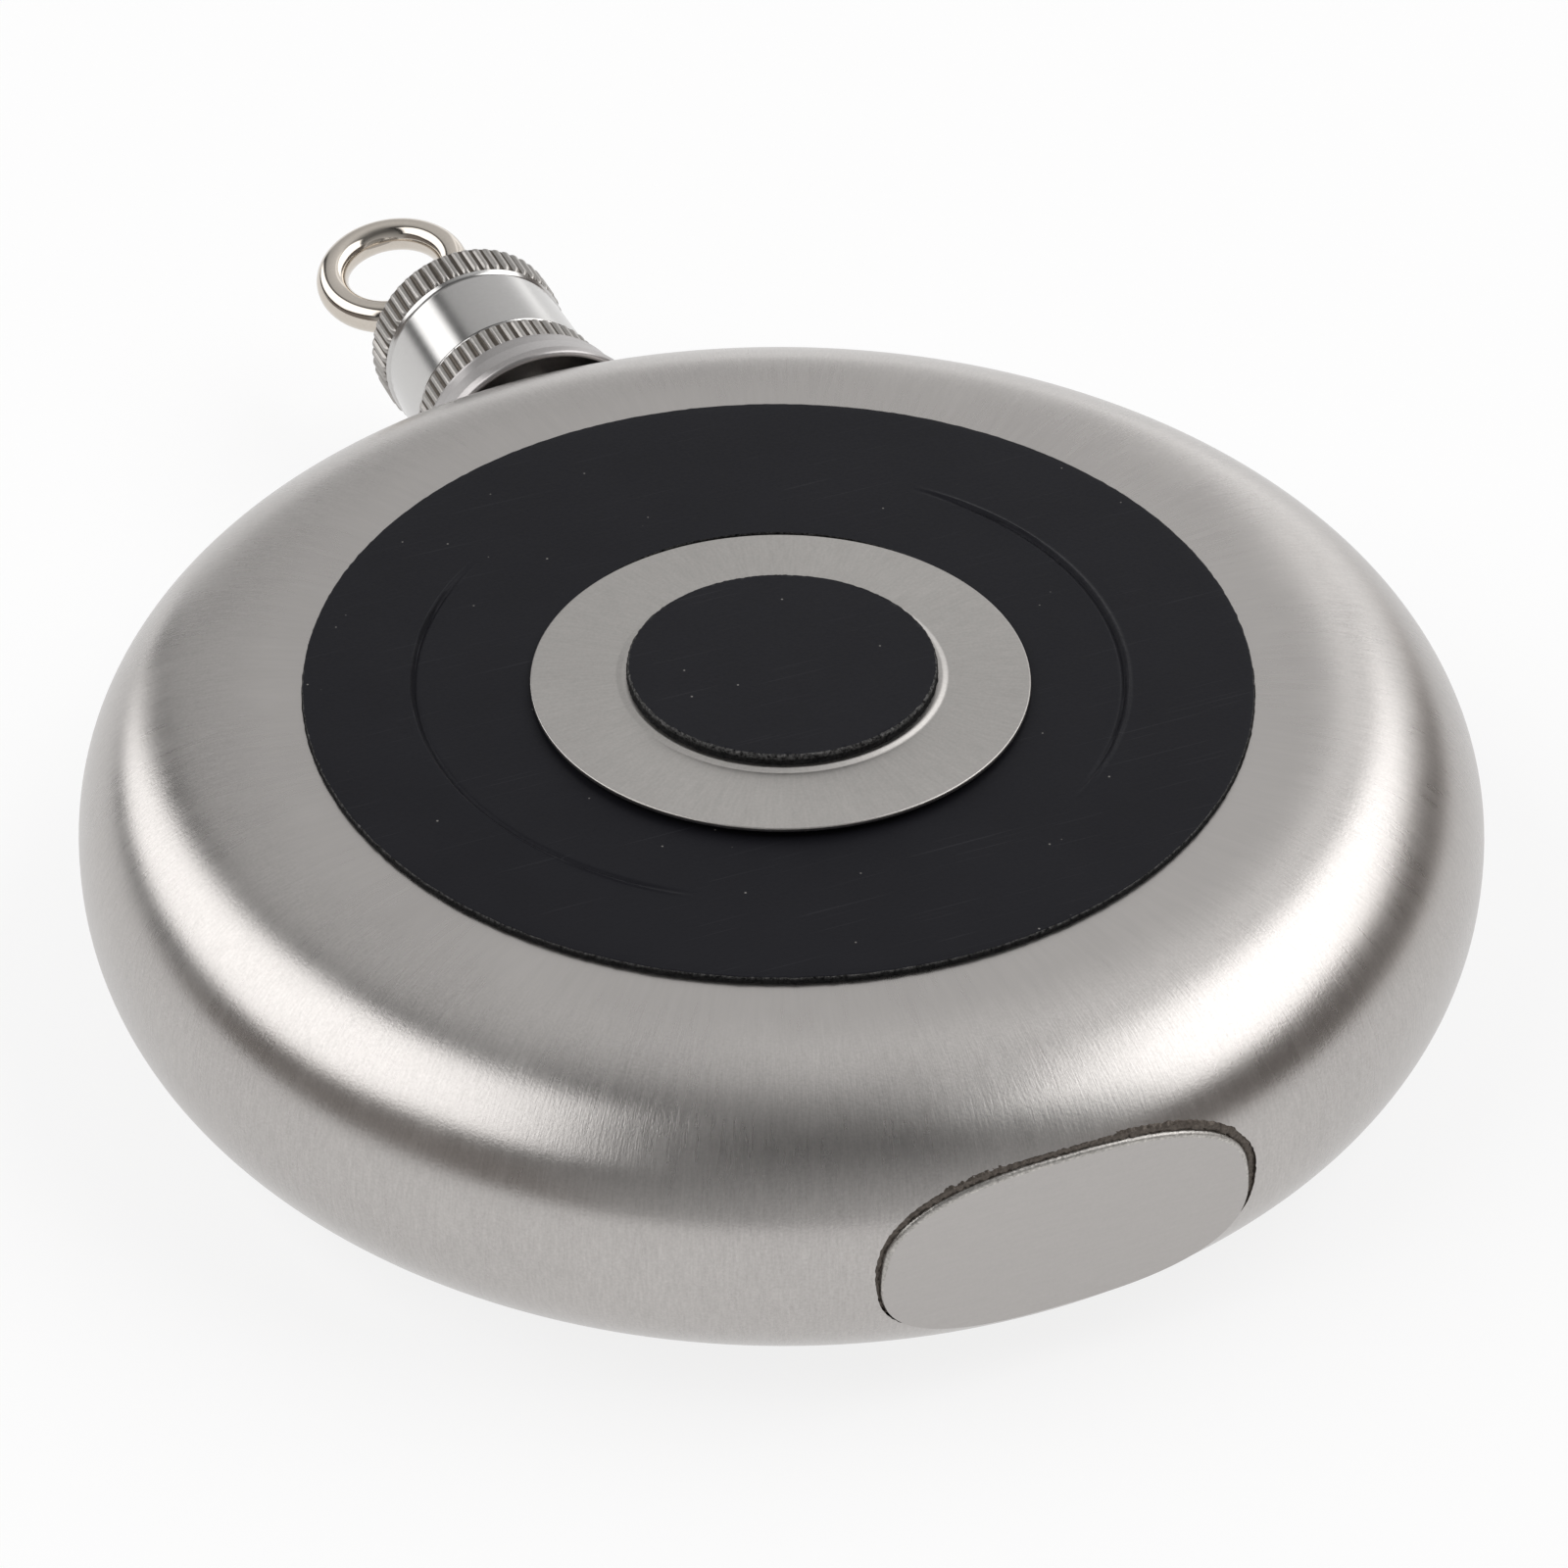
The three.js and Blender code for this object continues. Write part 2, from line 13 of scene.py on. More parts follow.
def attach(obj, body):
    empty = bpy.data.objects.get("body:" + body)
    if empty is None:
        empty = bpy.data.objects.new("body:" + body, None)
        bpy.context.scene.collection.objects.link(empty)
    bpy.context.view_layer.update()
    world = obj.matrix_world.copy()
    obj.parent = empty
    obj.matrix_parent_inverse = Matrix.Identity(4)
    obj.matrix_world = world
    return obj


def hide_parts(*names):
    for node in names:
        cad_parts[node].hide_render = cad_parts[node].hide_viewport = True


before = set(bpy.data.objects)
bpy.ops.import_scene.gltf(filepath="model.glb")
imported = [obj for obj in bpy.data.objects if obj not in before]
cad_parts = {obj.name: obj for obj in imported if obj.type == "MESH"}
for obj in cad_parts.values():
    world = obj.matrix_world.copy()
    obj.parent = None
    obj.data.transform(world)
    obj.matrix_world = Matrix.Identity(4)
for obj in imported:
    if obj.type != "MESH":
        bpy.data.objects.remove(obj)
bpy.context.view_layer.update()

MM = 0.001
TURN = 2 * math.pi

# Body: a drum whose rounded edge is a superellipse
BODY_RADIUS = 60.0
BODY_THICKNESS = 28.2
FACE_RADIUS = 43.4
EDGE_POWER = 2.23
SHELL_WALL = 0.8
MID_HEIGHT = BODY_THICKNESS / 2
EDGE_WIDTH = BODY_RADIUS - FACE_RADIUS
BODY_SEGMENTS = 240
EDGE_STEPS = 44
INNER_STRIDE = 4
FACE_ROWS = 4
SKIN_TOLERANCE = 0.02
SKIN_FACING = 0.9
FILLET_SHARE = 0.49

# Foot plate in the rim, its outline between an oval and a rectangle; its seam narrows to the bottom,
# where the plate grows by FOOT_FLUSH and meets the skin
FOOT_PLANE = 57.7
FOOT_LENGTH = 31.8
FOOT_WIDTH = 15.5
FOOT_POWER = 2.6
FOOT_SHIFT = Vector((0.35, 0))
FOOT_THICKNESS = 1.0
FOOT_SEAM_BOTTOM = 0.26
FOOT_SEAM_TOP = 0.68
SEAM_LEAST = 0.02
SEAM_RISE = 0.6
FOOT_FLUSH = 0.3
FOOT_EASE = 0.45
# Rows of the plate's eased edge: inset and depth as shares of FOOT_EASE
FOOT_EDGE_ROWS = ((1, 0), (0.5, 0.14), (0.2, 0.4), (0, 1))
FOOT_EDGE_FACING = (-0.98, -0.1)
FOOT_STEPS = 720
WINDOW_START = 2
WINDOW_DEPTH = 6.0
BURR_SHARE = 0.15
BURR_PITCH = 0.35
BEAD_OVERLAP = 0.12
BEAD_ROUGHNESS = 0.16
BEAD_PITCH = 0.3
# Rows of the weld bead: share of the way across the seam, and depth behind the plate's face
BEAD_ROWS = ((0, 0.55), (0.2, 0.36), (0.5, 0.3), (0.8, 0.36), (1, 0.55), (1, 0.9), (0, 0.9))

# Well, cup and lid
WELL_RADIUS = 19.05
WELL_FLOOR = 3.6
WELL_TOP = 27.4
WELL_WALL = 0.8
WELL_FLANGE = 3.0
CUP_WALL = 0.5
CUP_TAPER = 0.06
CUP_RING_HEIGHT = 19.6
CUP_RING_FEET = {"cup_base_ring": 11.924, "cup_lower_ring": 13.544, "cup_upper_ring": 15.164}
CUP_RING_BODIES = {"cup_base_ring": "cup_base", "cup_lower_ring": "cup_lower", "cup_upper_ring": "cup_upper"}
CUP_RIM_FOOT = 16.784
CUP_RIM_HEIGHT = 23.6
CUP_BEAD = 0.5
CUP_FLOOR_GAP = 0.1
CUP_FLOOR_THICKNESS = 0.6
CUP_SEGMENTS = 144
RING_TOP = 28.95
RING_FACE = 28.75
RING_INNER = 20.2
RING_OUTER = 40.15
RING_SHIFT = Vector((-0.25, 0.23, 0))
RING_ROWS = 5
RING_SLANT = 0.02
RING_STEP = 0.09
# The ring's rounded top corner: inset and drop of its rows
RING_ROUND = ((0.15, 0.04), (0.24, 0), (1.2, 0))
RING_MIDDLE = 24.0
LID_RADIUS = 21.05
LID_PLATE = 0.4
LID_SHIFT = Vector((-0.63, -1.16, 0))
LID_TILT = math.radians(1.13)
LID_TOP = RING_TOP + LID_PLATE
EMBOSS_SHIFT = Vector((0.29, 0.35, 0))
EMBOSS_RADIUS = 13.95
EMBOSS_TOP_RADIUS = 13.5
EMBOSS_BLEND = (15.0, 19.0)
EMBOSS_RISE = 0.18
EMBOSS_TOP = LID_TOP + EMBOSS_RISE
PLUG_RADIUS = 17.196
PLUG_BOTTOM = 23.8
PLUG_WALL = 0.5
PAD_RADIUS = 13.1
PAD_THICKNESS = 0.92
PAD_TOP = EMBOSS_TOP + PAD_THICKNESS
PAD_ROWS = 7
PAD_SLANT = 0.01
PAD_ROUND = (0.22, 0.6)
FRAY_DEPTH = 0.07
FRAY_INSET = 0.4
FRAY_BROAD = 2.2
FRAY_FINE = 6.0
FRAY_FINE_SHARE = 0.7
FRAY_FLATNESS = 0.8
CUT_FLATNESS = 0.9

# Crease pressed into the leatherette: a circle with its own centre, shown along two arcs, each given by
# its middle and half its length in degrees
CREASE_RADIUS = 29.9
CREASE_CENTRE = Vector((-0.84, -0.01))
CREASE_WIDTH = 0.2
CREASE_DEPTH = 0.22
CREASE_ARCS = ((180.5, 55.5), (-7.0, 49.5))
CREASE_FADE = 14.0
CREASE_LIP = 0.8
CREASE_LIP_OFF = 1.7
CREASE_STEP = 0.1
CREASE_ROWS = range(12, -14, -1)
TOP_TOLERANCE = 0.01

# Neck and cap, measured along the neck from the middle of the body
SPOUT_BORE = 5.0
SPOUT_RADIUS = 6.3
SPOUT_FOOT = 56.5
SPOUT_TOP = 72.5
THREAD_DEPTH = 0.55
THREAD_PITCH = 2.4
THREAD_START = 65.0
THREAD_TURNS = 2.3
THREAD_STEPS = 72
THREAD_ROOT_HALF = 0.55
THREAD_CREST_HALF = 0.25
THREAD_FADE = 12
THREAD_END = 0.05
COLLAR_RADIUS = 10.9
COLLAR_TOP_RADIUS = 10.1
COLLAR_LIP = 59.3
COLLAR_FOOT = 57.9
COLLAR_FLOOR = 60.3
COLLAR_TOP = 62.6
COLLAR_WALL = 0.7
COLLAR_BASE = 1.0
COLLAR_FLARE = 0.2
COLLAR_FLARE_DROP = 1.6
COLLAR_EASE = 0.05
COLLAR_EASE_DROP = 0.3
NECK_SEAM = 0.3
CAP_BOTTOM = 62.9
CAP_TOP = 80.3
CAP_CEILING = 79.1
CAP_CAVITY = 8.3
CAP_WAIST = 8.85
CAP_WAIST_FOOT = 9.05
CAP_BEVEL = 0.7
CAP_GROOVE = 0.12
LOW_BAND_RADIUS = 9.37
LOW_BAND_TOP = 66.75
TOP_BAND_RADIUS = 9.25
TOP_BAND_FOOT = 76.2
KNURL_DEPTH = 0.32
KNURL_TEETH = 54
KNURL_GROOVE = 0.45
KNURL_SAMPLES = 10
KNURL_VALLEY = 0.2
KNURL_FLANK = 0.6
# Ends of a knurled band: share of its height, and share of the knurl's depth
KNURL_ENDS = ((0, 0), (0.04, 0.55), (0.1, 0.9), (0.16, 1))
CAP_CROWN = 0.3
TOP_BAND_TOP = CAP_TOP - CAP_CROWN
CAP_FOOT_RISE = 0.05
CAP_FOOT_INSET = 0.2
# Rows of the waist, as height and radius: at its foot, from the low band's top and CAP_WAIST_FOOT
WAIST_FOOT_ROWS = ((0.06, -CAP_GROOVE), (0.16, -CAP_GROOVE), (0.28, 0))
# At its head, from the bevel's foot and CAP_WAIST
WAIST_HEAD_ROWS = (
    (-0.3, 0), (-0.12, 0), (-0.06, -CAP_GROOVE), (0.02, -CAP_GROOVE), (0.08, 0), (0.3, 0.1), (0.55, 0.2),
)
# The cap's rounded top corner: inset from the band's core, and drop from the top
CAP_ROUND = ((0.12, 0.13), (0.3, 0.03), (0.5, 0))
CAP_CREASE = 45
LINER_BORE = 7.05
LINER_RADIUS = 8.2
LINER_FOOT = 63.2
LINER_CEILING = 74.3
LINER_TOP = 75.5
GASKET_RADIUS = 6.85
GASKET_BOTTOM = 72.6
GASKET_TOP = 74.2
NECK_SEGMENTS = 160

# Eye of the cap
EYE_RADIUS = 5.95
EYE_WIRE = 1.55
EYE_REACH = 9.8
EYE_TIP = math.radians(6.7)
EYE_LEAN = math.radians(17.6)
EYE_ROLL = math.radians(10.7)
EYE_SEGMENTS = 64
WIRE_STEPS = 32
LOOP_SEGMENTS = 128
STEM_SINK = 0.5
STEM_FLARE = 0.5
STEM_FLARE_TOP = 0.8
SHANK_RADIUS = 1.6
SHANK_HOLE = 1.9
SHANK_FOOT = 77.5
SHOULDER_RADIUS = 3.2
SHOULDER_BOTTOM = 80.5
SHOULDER_TOP = 81.5
WASHER_BORE = 1.8
WASHER_RADIUS = 4.0
WASHER_BOTTOM = 77.9
WASHER_TOP = 78.9

# View of the photograph: the camera stands over the foot's side of the flask; angles in radians
VIEW_AZIMUTH = math.radians(-22.74)
VIEW_PAN = -0.0005
VIEW_TILT = 0.6653
VIEW_ROLL = 0.0048
VIEW_BACK = 385.14
VIEW_HEIGHT = 290.81
VIEW_FOCAL = 131.36
SENSOR = 36.0
CLIP_START = 10.0

LID_PLACE = (
    Matrix.Translation(LID_SHIFT + Vector((0, 0, RING_TOP)))
    @ Matrix.Rotation(-LID_TILT, 4, Vector((math.cos(VIEW_AZIMUTH), math.sin(VIEW_AZIMUTH), 0)))
    @ Matrix.Translation((0, 0, -RING_TOP))
)
NECK = Matrix.Translation((0, 0, MID_HEIGHT)) @ Matrix.Rotation(-math.pi / 2, 4, "X")


# Outlines and meshes

def eased(corners, steps=6):
    """A closed outline through corners (radius, height, fillet), each rounded by an arc of its fillet."""
    points = []
    for i, (radius, height, fillet) in enumerate(corners):
        here = Vector((radius, height))
        if fillet == 0:
            points.append((radius, height))
            continue
        back = Vector(corners[i - 1][:2]) - here
        ahead = Vector(corners[(i + 1) % len(corners)][:2]) - here
        half = back.angle(ahead) / 2
        reach = min(fillet / math.tan(half), FILLET_SHARE * back.length, FILLET_SHARE * ahead.length)
        bulge = reach * math.tan(half)
        back.normalize()
        ahead.normalize()
        centre = here + (back + ahead).normalized() * (bulge / math.sin(half))
        start = here + back * reach - centre
        sweep = start.angle_signed(here + ahead * reach - centre)
        for k in range(steps + 1):
            turn = -sweep * k / steps
            x = start.x * math.cos(turn) - start.y * math.sin(turn)
            y = start.x * math.sin(turn) + start.y * math.cos(turn)
            points.append((centre.x + x, centre.y + y))
    return points


def turned(outline, segments, depths=None):
    """A mesh turned about +Z from a closed outline of (radius, height) points.

    depths gives the depth of the knurling at some points of the outline. The UV map holds millimetres,
    round the widest turn and along the outline."""
    bm = bmesh.new()
    grain = bm.loops.layers.uv.new("grain")
    widest = max(radius for radius, _ in outline)
    angles = [TURN * k / segments for k in range(segments)]
    rings = []
    for i, (radius, height) in enumerate(outline):
        if radius == 0:
            rings.append([bm.verts.new((0, 0, height))] * segments)
            continue
        depth = depths.get(i, 0) if depths else 0
        reach = [radius - depth * (1 - tooth(angle)) for angle in angles]
        places = [(r * math.cos(a), r * math.sin(a), height) for r, a in zip(reach, angles)]
        rings.append([bm.verts.new(place) for place in places])
    along = [0.0]
    for i, point in enumerate(outline):
        along.append(along[-1] + (Vector(outline[(i + 1) % len(outline)]) - Vector(point)).length)
    for i in range(len(outline)):
        low, high = rings[i], rings[(i + 1) % len(outline)]
        for k in range(segments):
            j = (k + 1) % segments
            corners = {low[k]: (k, i), low[j]: (k + 1, i), high[j]: (k + 1, i + 1), high[k]: (k, i + 1)}
            if len(corners) < 3:
                continue
            face = bm.faces.new(corners)
            face.smooth = True
            for loop in face.loops:
                step, row = corners[loop.vert]
                loop[grain].uv = (TURN * widest * step / segments, along[row])
    bmesh.ops.recalc_face_normals(bm, faces=bm.faces)
    return bm


def tooth(angle):
    """Height of the straight knurling at an angle: rounded ridges with grooves about as wide."""
    wave = 0.5 + 0.5 * math.cos(KNURL_TEETH * angle)
    t = min(1.0, max(0.0, (wave - KNURL_VALLEY) / KNURL_FLANK))
    return t * t * (3 - 2 * t)


def loose(bm):
    """A helper object for cutting; it is removed afterwards."""
    mesh = bpy.data.meshes.new("blank")
    bm.to_mesh(mesh)
    bm.free()
    made = bpy.data.objects.new("blank", mesh)
    bpy.context.scene.collection.objects.link(made)
    return made


def combined(bm, tools, operation):
    """bm with other meshes cut from it (DIFFERENCE) or joined to it (UNION)."""
    blank = loose(bm)
    helpers = [loose(tool) for tool in tools]
    for helper in helpers:
        modifier = blank.modifiers.new(operation, "BOOLEAN")
        modifier.operation = operation
        modifier.solver = "EXACT"
        modifier.object = helper
    made = bmesh.new()
    made.from_object(blank, bpy.context.evaluated_depsgraph_get())
    for helper in [blank] + helpers:
        mesh = helper.data
        bpy.data.objects.remove(helper)
        bpy.data.meshes.remove(mesh)
    for face in made.faces:
        face.smooth = True
    return made


def piece(name, bm, body, nodes, materials, crease=35, weighted=True):
    """Makes a mesh into a piece that rides on a body and stands for its nodes."""
    bm.transform(Matrix.Scale(MM, 4))
    mesh = bpy.data.meshes.new(name)
    bm.to_mesh(mesh)
    bm.free()
    for material in materials:
        mesh.materials.append(material)
    mesh.set_sharp_from_angle(angle=math.radians(crease))
    made = bpy.data.objects.new(name, mesh)
    bpy.context.scene.collection.objects.link(made)
    if weighted:
        even = made.modifiers.new("flat faces stay flat", "WEIGHTED_NORMAL")
        even.keep_sharp = True
    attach(made, body)
    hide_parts(*nodes)
    return made


def along_neck(bm):
    """Lays a mesh turned about +Z along the neck."""
    bm.transform(NECK)
    return bm


# Materials: sizes and reliefs in millimetres, spans as the part of a noise that is used

NOISE_ROUGHNESS = 0.6
GRAIN_WEIGHT = 0.55
CALM_WEIGHT = 0.04
BROAD_FACTOR = 4
SPECKLE_SIZE = 0.24
HAZE_SIZE = 16.0
HAZE_TONE = 0.3
BROAD_TONE = 0.25
HAZE_GLOSS = 0.7
BROAD_GLOSS = 0.3
GLOSS_SPAN = (0.25, 0.75)
STROKE_RELIEF = 0.6
SPECKLE_RELIEF = 0.4

LEATHER_GRAIN = 0.35
LEATHER_HAZE = 9.0
LEATHER_DARK = (0.0078, 0.0078, 0.0098)
LEATHER_LIGHT = (0.011, 0.011, 0.0136)
LEATHER_ROUGH = (0.38, 0.52)
LEATHER_SPECULAR = 0.09
LEATHER_TINT = (0.9, 0.9, 1.0, 1)
LEATHER_RELIEF = 0.012
GRAIN_SPAN = (0.3, 0.7)
DUST_SPACING = 1.9
DUST_SPAN = (0.03, 0.06)
DUST_PATCH = 2.3
DUST_PATCH_SPAN = (0.58, 0.62)
DUST_COLOUR = (0.22, 0.21, 0.2)
HAIR_LENGTH = 14
HAIR_WIDTH = 0.22
HAIR_TURN = math.radians(-30)
HAIR_SPAN = (0.68, 0.74)
HAIR_SHARE = 0.35
HAIR_COLOUR = (0.05, 0.05, 0.055)

CUT_TUFT = 0.3
CUT_FIBRE = 0.09
CUT_TUFT_SPAN = (0.35, 0.7)
# Painted highlight along the top of the cut edge and painted shade below it: depths under the top where the
# fibres' light tone is least and where it is full, and the share kept below
CUT_TOP_HIGHLIGHT = (0.28, 0.04)
CUT_FOOT_SHADE = 0.12
CUT_DARK = (0.004, 0.004, 0.0045)
CUT_LIGHT = (0.3, 0.295, 0.29)
CUT_ROUGH = (0.75, 0.95)
CUT_SPECULAR = 0.15
CUT_RELIEF = 0.12

MOULD_GRAIN = 0.25
MOULD_HAZE = 6.0


def node(tree, kind, inputs, **settings):
    """A shader node with its settings, and with its inputs set or linked."""
    made = tree.nodes.new(kind)
    for name, value in settings.items():
        setattr(made, name, value)
    for key, value in inputs.items():
        if isinstance(value, bpy.types.NodeSocket):
            tree.links.new(value, made.inputs[key])
        else:
            made.inputs[key].default_value = value
    return made


def maths(tree, operation, first, second):
    return node(tree, "ShaderNodeMath", {0: first, 1: second}, operation=operation).outputs[0]


def between(tree, value, low, high, floor=0.0, ceiling=1.0):
    """value, from floor to ceiling, mapped to the range from low to high."""
    return node(tree, "ShaderNodeMapRange", {
        "Value": value, "From Min": floor, "From Max": ceiling, "To Min": low, "To Max": high,
    }).outputs[0]


def blended(tree, share, first, second):
    mix = node(tree, "ShaderNodeMix", {"Factor": share}, data_type="RGBA")
    for socket, value in (("A_Color", first), ("B_Color", second)):
        found = next(s for s in mix.inputs if s.identifier == socket)
        if isinstance(value, bpy.types.NodeSocket):
            tree.links.new(value, found)
        else:
            found.default_value = (*value, 1)
    return next(s for s in mix.outputs if s.identifier == "Result_Color")


def clouds(tree, size, detail=2.0):
    """Noise of a feature size in millimetres, fixed in the piece."""
    place = node(tree, "ShaderNodeTexCoord", {}).outputs["Object"]
    return node(tree, "ShaderNodeTexNoise", {
        "Vector": place, "Scale": 1 / (size * MM), "Detail": detail, "Roughness": NOISE_ROUGHNESS,
    }).outputs[0]


def strokes(tree, width, length, detail=2.0):
    """Noise drawn out into strokes along the outline, sizes in millimetres."""
    place = node(tree, "ShaderNodeUVMap", {}, uv_map="grain").outputs[0]
    drawn = node(tree, "ShaderNodeMapping", {"Vector": place, "Scale": (1 / width, 1 / length, 1)}).outputs[0]
    return node(tree, "ShaderNodeTexNoise", {
        "Vector": drawn, "Scale": 1.0, "Detail": detail, "Roughness": NOISE_ROUGHNESS,
    }).outputs[0]


def new_material(name, metallic):
    material = bpy.data.materials.new(name)
    material.use_nodes = True
    shader = material.node_tree.nodes["Principled BSDF"]
    shader.inputs["Metallic"].default_value = metallic
    return material, material.node_tree, shader


def set_bump(tree, shader, height, depth):
    """Relief of a depth in millimetres."""
    bump = node(tree, "ShaderNodeBump", {"Height": height, "Strength": 1.0, "Distance": depth * MM})
    tree.links.new(bump.outputs[0], shader.inputs["Normal"])


def weighed(tree, parts):
    """A half, plus how far each part lies from a half times its weight."""
    total = 0.5
    for value, weight in parts:
        off = maths(tree, "MULTIPLY", maths(tree, "SUBTRACT", value, 0.5), weight)
        total = maths(tree, "ADD", total, off)
    return total


def brushed_metal(name, light, dark, rough, relief, anisotropy, width=0.22, length=1.8, calm=None):
    """Metal brushed along its outline: fine strokes, a satin speckle and faint clouds.

    calm gives two radii (mm): the grain is faint inside the first and full outside the second."""
    material, tree, shader = new_material(name, 1.0)
    fine = strokes(tree, width, length)
    broad = strokes(tree, BROAD_FACTOR * width, BROAD_FACTOR * length)
    speckle = clouds(tree, SPECKLE_SIZE, detail=1.0)
    haze = clouds(tree, HAZE_SIZE)
    grit = GRAIN_WEIGHT
    if calm:
        place = node(tree, "ShaderNodeTexCoord", {}).outputs["Object"]
        flat = {0: place, 1: (1, 1, 0)}
        across = node(tree, "ShaderNodeVectorMath", flat, operation="MULTIPLY").outputs[0]
        radius = node(tree, "ShaderNodeVectorMath", {0: across}, operation="LENGTH").outputs["Value"]
        grit = between(tree, radius, CALM_WEIGHT, GRAIN_WEIGHT, calm[0] * MM, calm[1] * MM)
    tone = weighed(tree, ((haze, HAZE_TONE), (broad, BROAD_TONE), (fine, grit), (speckle, grit)))
    tree.links.new(blended(tree, tone, dark, light), shader.inputs["Base Color"])
    gloss = weighed(tree, ((haze, HAZE_GLOSS), (broad, BROAD_GLOSS)))
    tree.links.new(between(tree, gloss, *rough, *GLOSS_SPAN), shader.inputs["Roughness"])
    drawn = maths(tree, "MULTIPLY", fine, STROKE_RELIEF)
    height = maths(tree, "ADD", drawn, maths(tree, "MULTIPLY", speckle, SPECKLE_RELIEF))
    set_bump(tree, shader, maths(tree, "MULTIPLY", height, grit), relief / GRAIN_WEIGHT)
    shader.inputs["Anisotropic"].default_value = anisotropy
    tangent = node(tree, "ShaderNodeTangent", {}, direction_type="UV_MAP", uv_map="grain")
    tree.links.new(tangent.outputs[0], shader.inputs["Tangent"])
    return material


def leatherette():
    """Smooth coated leatherette with a faint grain, hair scratches and a little dust."""
    material, tree, shader = new_material("leatherette", 0.0)
    grain = clouds(tree, LEATHER_GRAIN, detail=3.0)
    haze = clouds(tree, LEATHER_HAZE)
    place = node(tree, "ShaderNodeTexCoord", {}).outputs["Object"]
    specks = node(tree, "ShaderNodeTexVoronoi", {
        "Vector": place, "Scale": 1 / (DUST_SPACING * MM),
    }).outputs["Distance"]
    dust = between(tree, specks, 1.0, 0.0, *DUST_SPAN)
    rare = between(tree, clouds(tree, DUST_PATCH, detail=0.0), 0.0, 1.0, *DUST_PATCH_SPAN)
    dust = maths(tree, "MULTIPLY", dust, rare)
    tilted = node(tree, "ShaderNodeMapping", {
        "Vector": place,
        "Rotation": (0, 0, HAIR_TURN),
        "Scale": (1 / (HAIR_LENGTH * MM), 1 / (HAIR_WIDTH * MM), 1),
    }).outputs[0]
    hair = node(tree, "ShaderNodeTexNoise", {"Vector": tilted, "Scale": 1.0, "Detail": 1.0}).outputs[0]
    scratch = maths(tree, "MULTIPLY", between(tree, hair, 0.0, 1.0, *HAIR_SPAN), haze)
    body = blended(tree, haze, LEATHER_DARK, LEATHER_LIGHT)
    worn = blended(tree, maths(tree, "MULTIPLY", scratch, HAIR_SHARE), body, HAIR_COLOUR)
    tree.links.new(blended(tree, dust, worn, DUST_COLOUR), shader.inputs["Base Color"])
    tree.links.new(between(tree, grain, *LEATHER_ROUGH, *GRAIN_SPAN), shader.inputs["Roughness"])
    shader.inputs["Specular IOR Level"].default_value = LEATHER_SPECULAR
    shader.inputs["Specular Tint"].default_value = LEATHER_TINT
    set_bump(tree, shader, grain, LEATHER_RELIEF)
    return material


def cut_edge(name, top):
    """The cut edge of the leatherette: matt and fibrous, with light fibres along its top that also stand for
    a painted highlight, fading into painted shade towards its foot.

    top is the height of the leatherette's face in millimetres."""
    material, tree, shader = new_material(name, 0.0)
    tufts = clouds(tree, CUT_TUFT, detail=4.0)
    fibres = clouds(tree, CUT_FIBRE)
    place = node(tree, "ShaderNodeTexCoord", {}).outputs["Object"]
    height = node(tree, "ShaderNodeSeparateXYZ", {"Vector": place}).outputs["Z"]
    # Painted highlight along the top of the cut edge, painted shade towards its foot: the fibres' light tone
    # fades with depth below the top
    start, full = CUT_TOP_HIGHLIGHT
    rim = between(tree, height, CUT_FOOT_SHADE, 1.0, (top - start) * MM, (top - full) * MM)
    shade = maths(tree, "MULTIPLY", between(tree, tufts, 0.0, 1.0, *CUT_TUFT_SPAN), fibres)
    shade = maths(tree, "MULTIPLY", shade, rim)
    tree.links.new(blended(tree, shade, CUT_DARK, CUT_LIGHT), shader.inputs["Base Color"])
    tree.links.new(between(tree, fibres, *CUT_ROUGH), shader.inputs["Roughness"])
    shader.inputs["Specular IOR Level"].default_value = CUT_SPECULAR
    set_bump(tree, shader, maths(tree, "ADD", tufts, fibres), CUT_RELIEF)
    return material


def soft_plastic(name, light, dark, rough, relief):
    """A moulded plastic or rubber with a fine texture."""
    material, tree, shader = new_material(name, 0.0)
    fine = clouds(tree, MOULD_GRAIN, detail=3.0)
    haze = clouds(tree, MOULD_HAZE)
    tree.links.new(blended(tree, haze, dark, light), shader.inputs["Base Color"])
    tree.links.new(between(tree, fine, *rough, *GRAIN_SPAN), shader.inputs["Roughness"])
    set_bump(tree, shader, fine, relief)
    return material


# Each metal: light and dark colour, range of roughness, relief, anisotropy, width and length of strokes
SHELL_STEEL = brushed_metal(
    "shell_steel", (0.57, 0.545, 0.528), (0.36, 0.344, 0.332), (0.24, 0.33), 0.016, 0.35, calm=(43.5, 49.0)
)
PLATE_STEEL = brushed_metal(
    "plate_steel", (0.47, 0.45, 0.436), (0.41, 0.392, 0.38), (0.26, 0.34), 0.002, 0.35, 0.25, 3.0
)
LID_STEEL = brushed_metal(
    "lid_steel", (0.52, 0.5, 0.48), (0.36, 0.346, 0.332), (0.3, 0.4), 0.004, 0.3, 0.3, 2.2
)
CUP_STEEL = brushed_metal("cup_steel", (0.6, 0.58, 0.55), (0.5, 0.48, 0.455), (0.16, 0.28), 0.002, 0.3)
CHROME = brushed_metal(
    "cap_chrome", (0.58, 0.57, 0.56), (0.5, 0.49, 0.48), (0.15, 0.23), 0.0006, 0.0, 0.6, 0.12
)
KNURL = brushed_metal("cap_knurl", (0.46, 0.44, 0.42), (0.3, 0.285, 0.27), (0.3, 0.42), 0.004, 0.0, 0.3, 0.3)
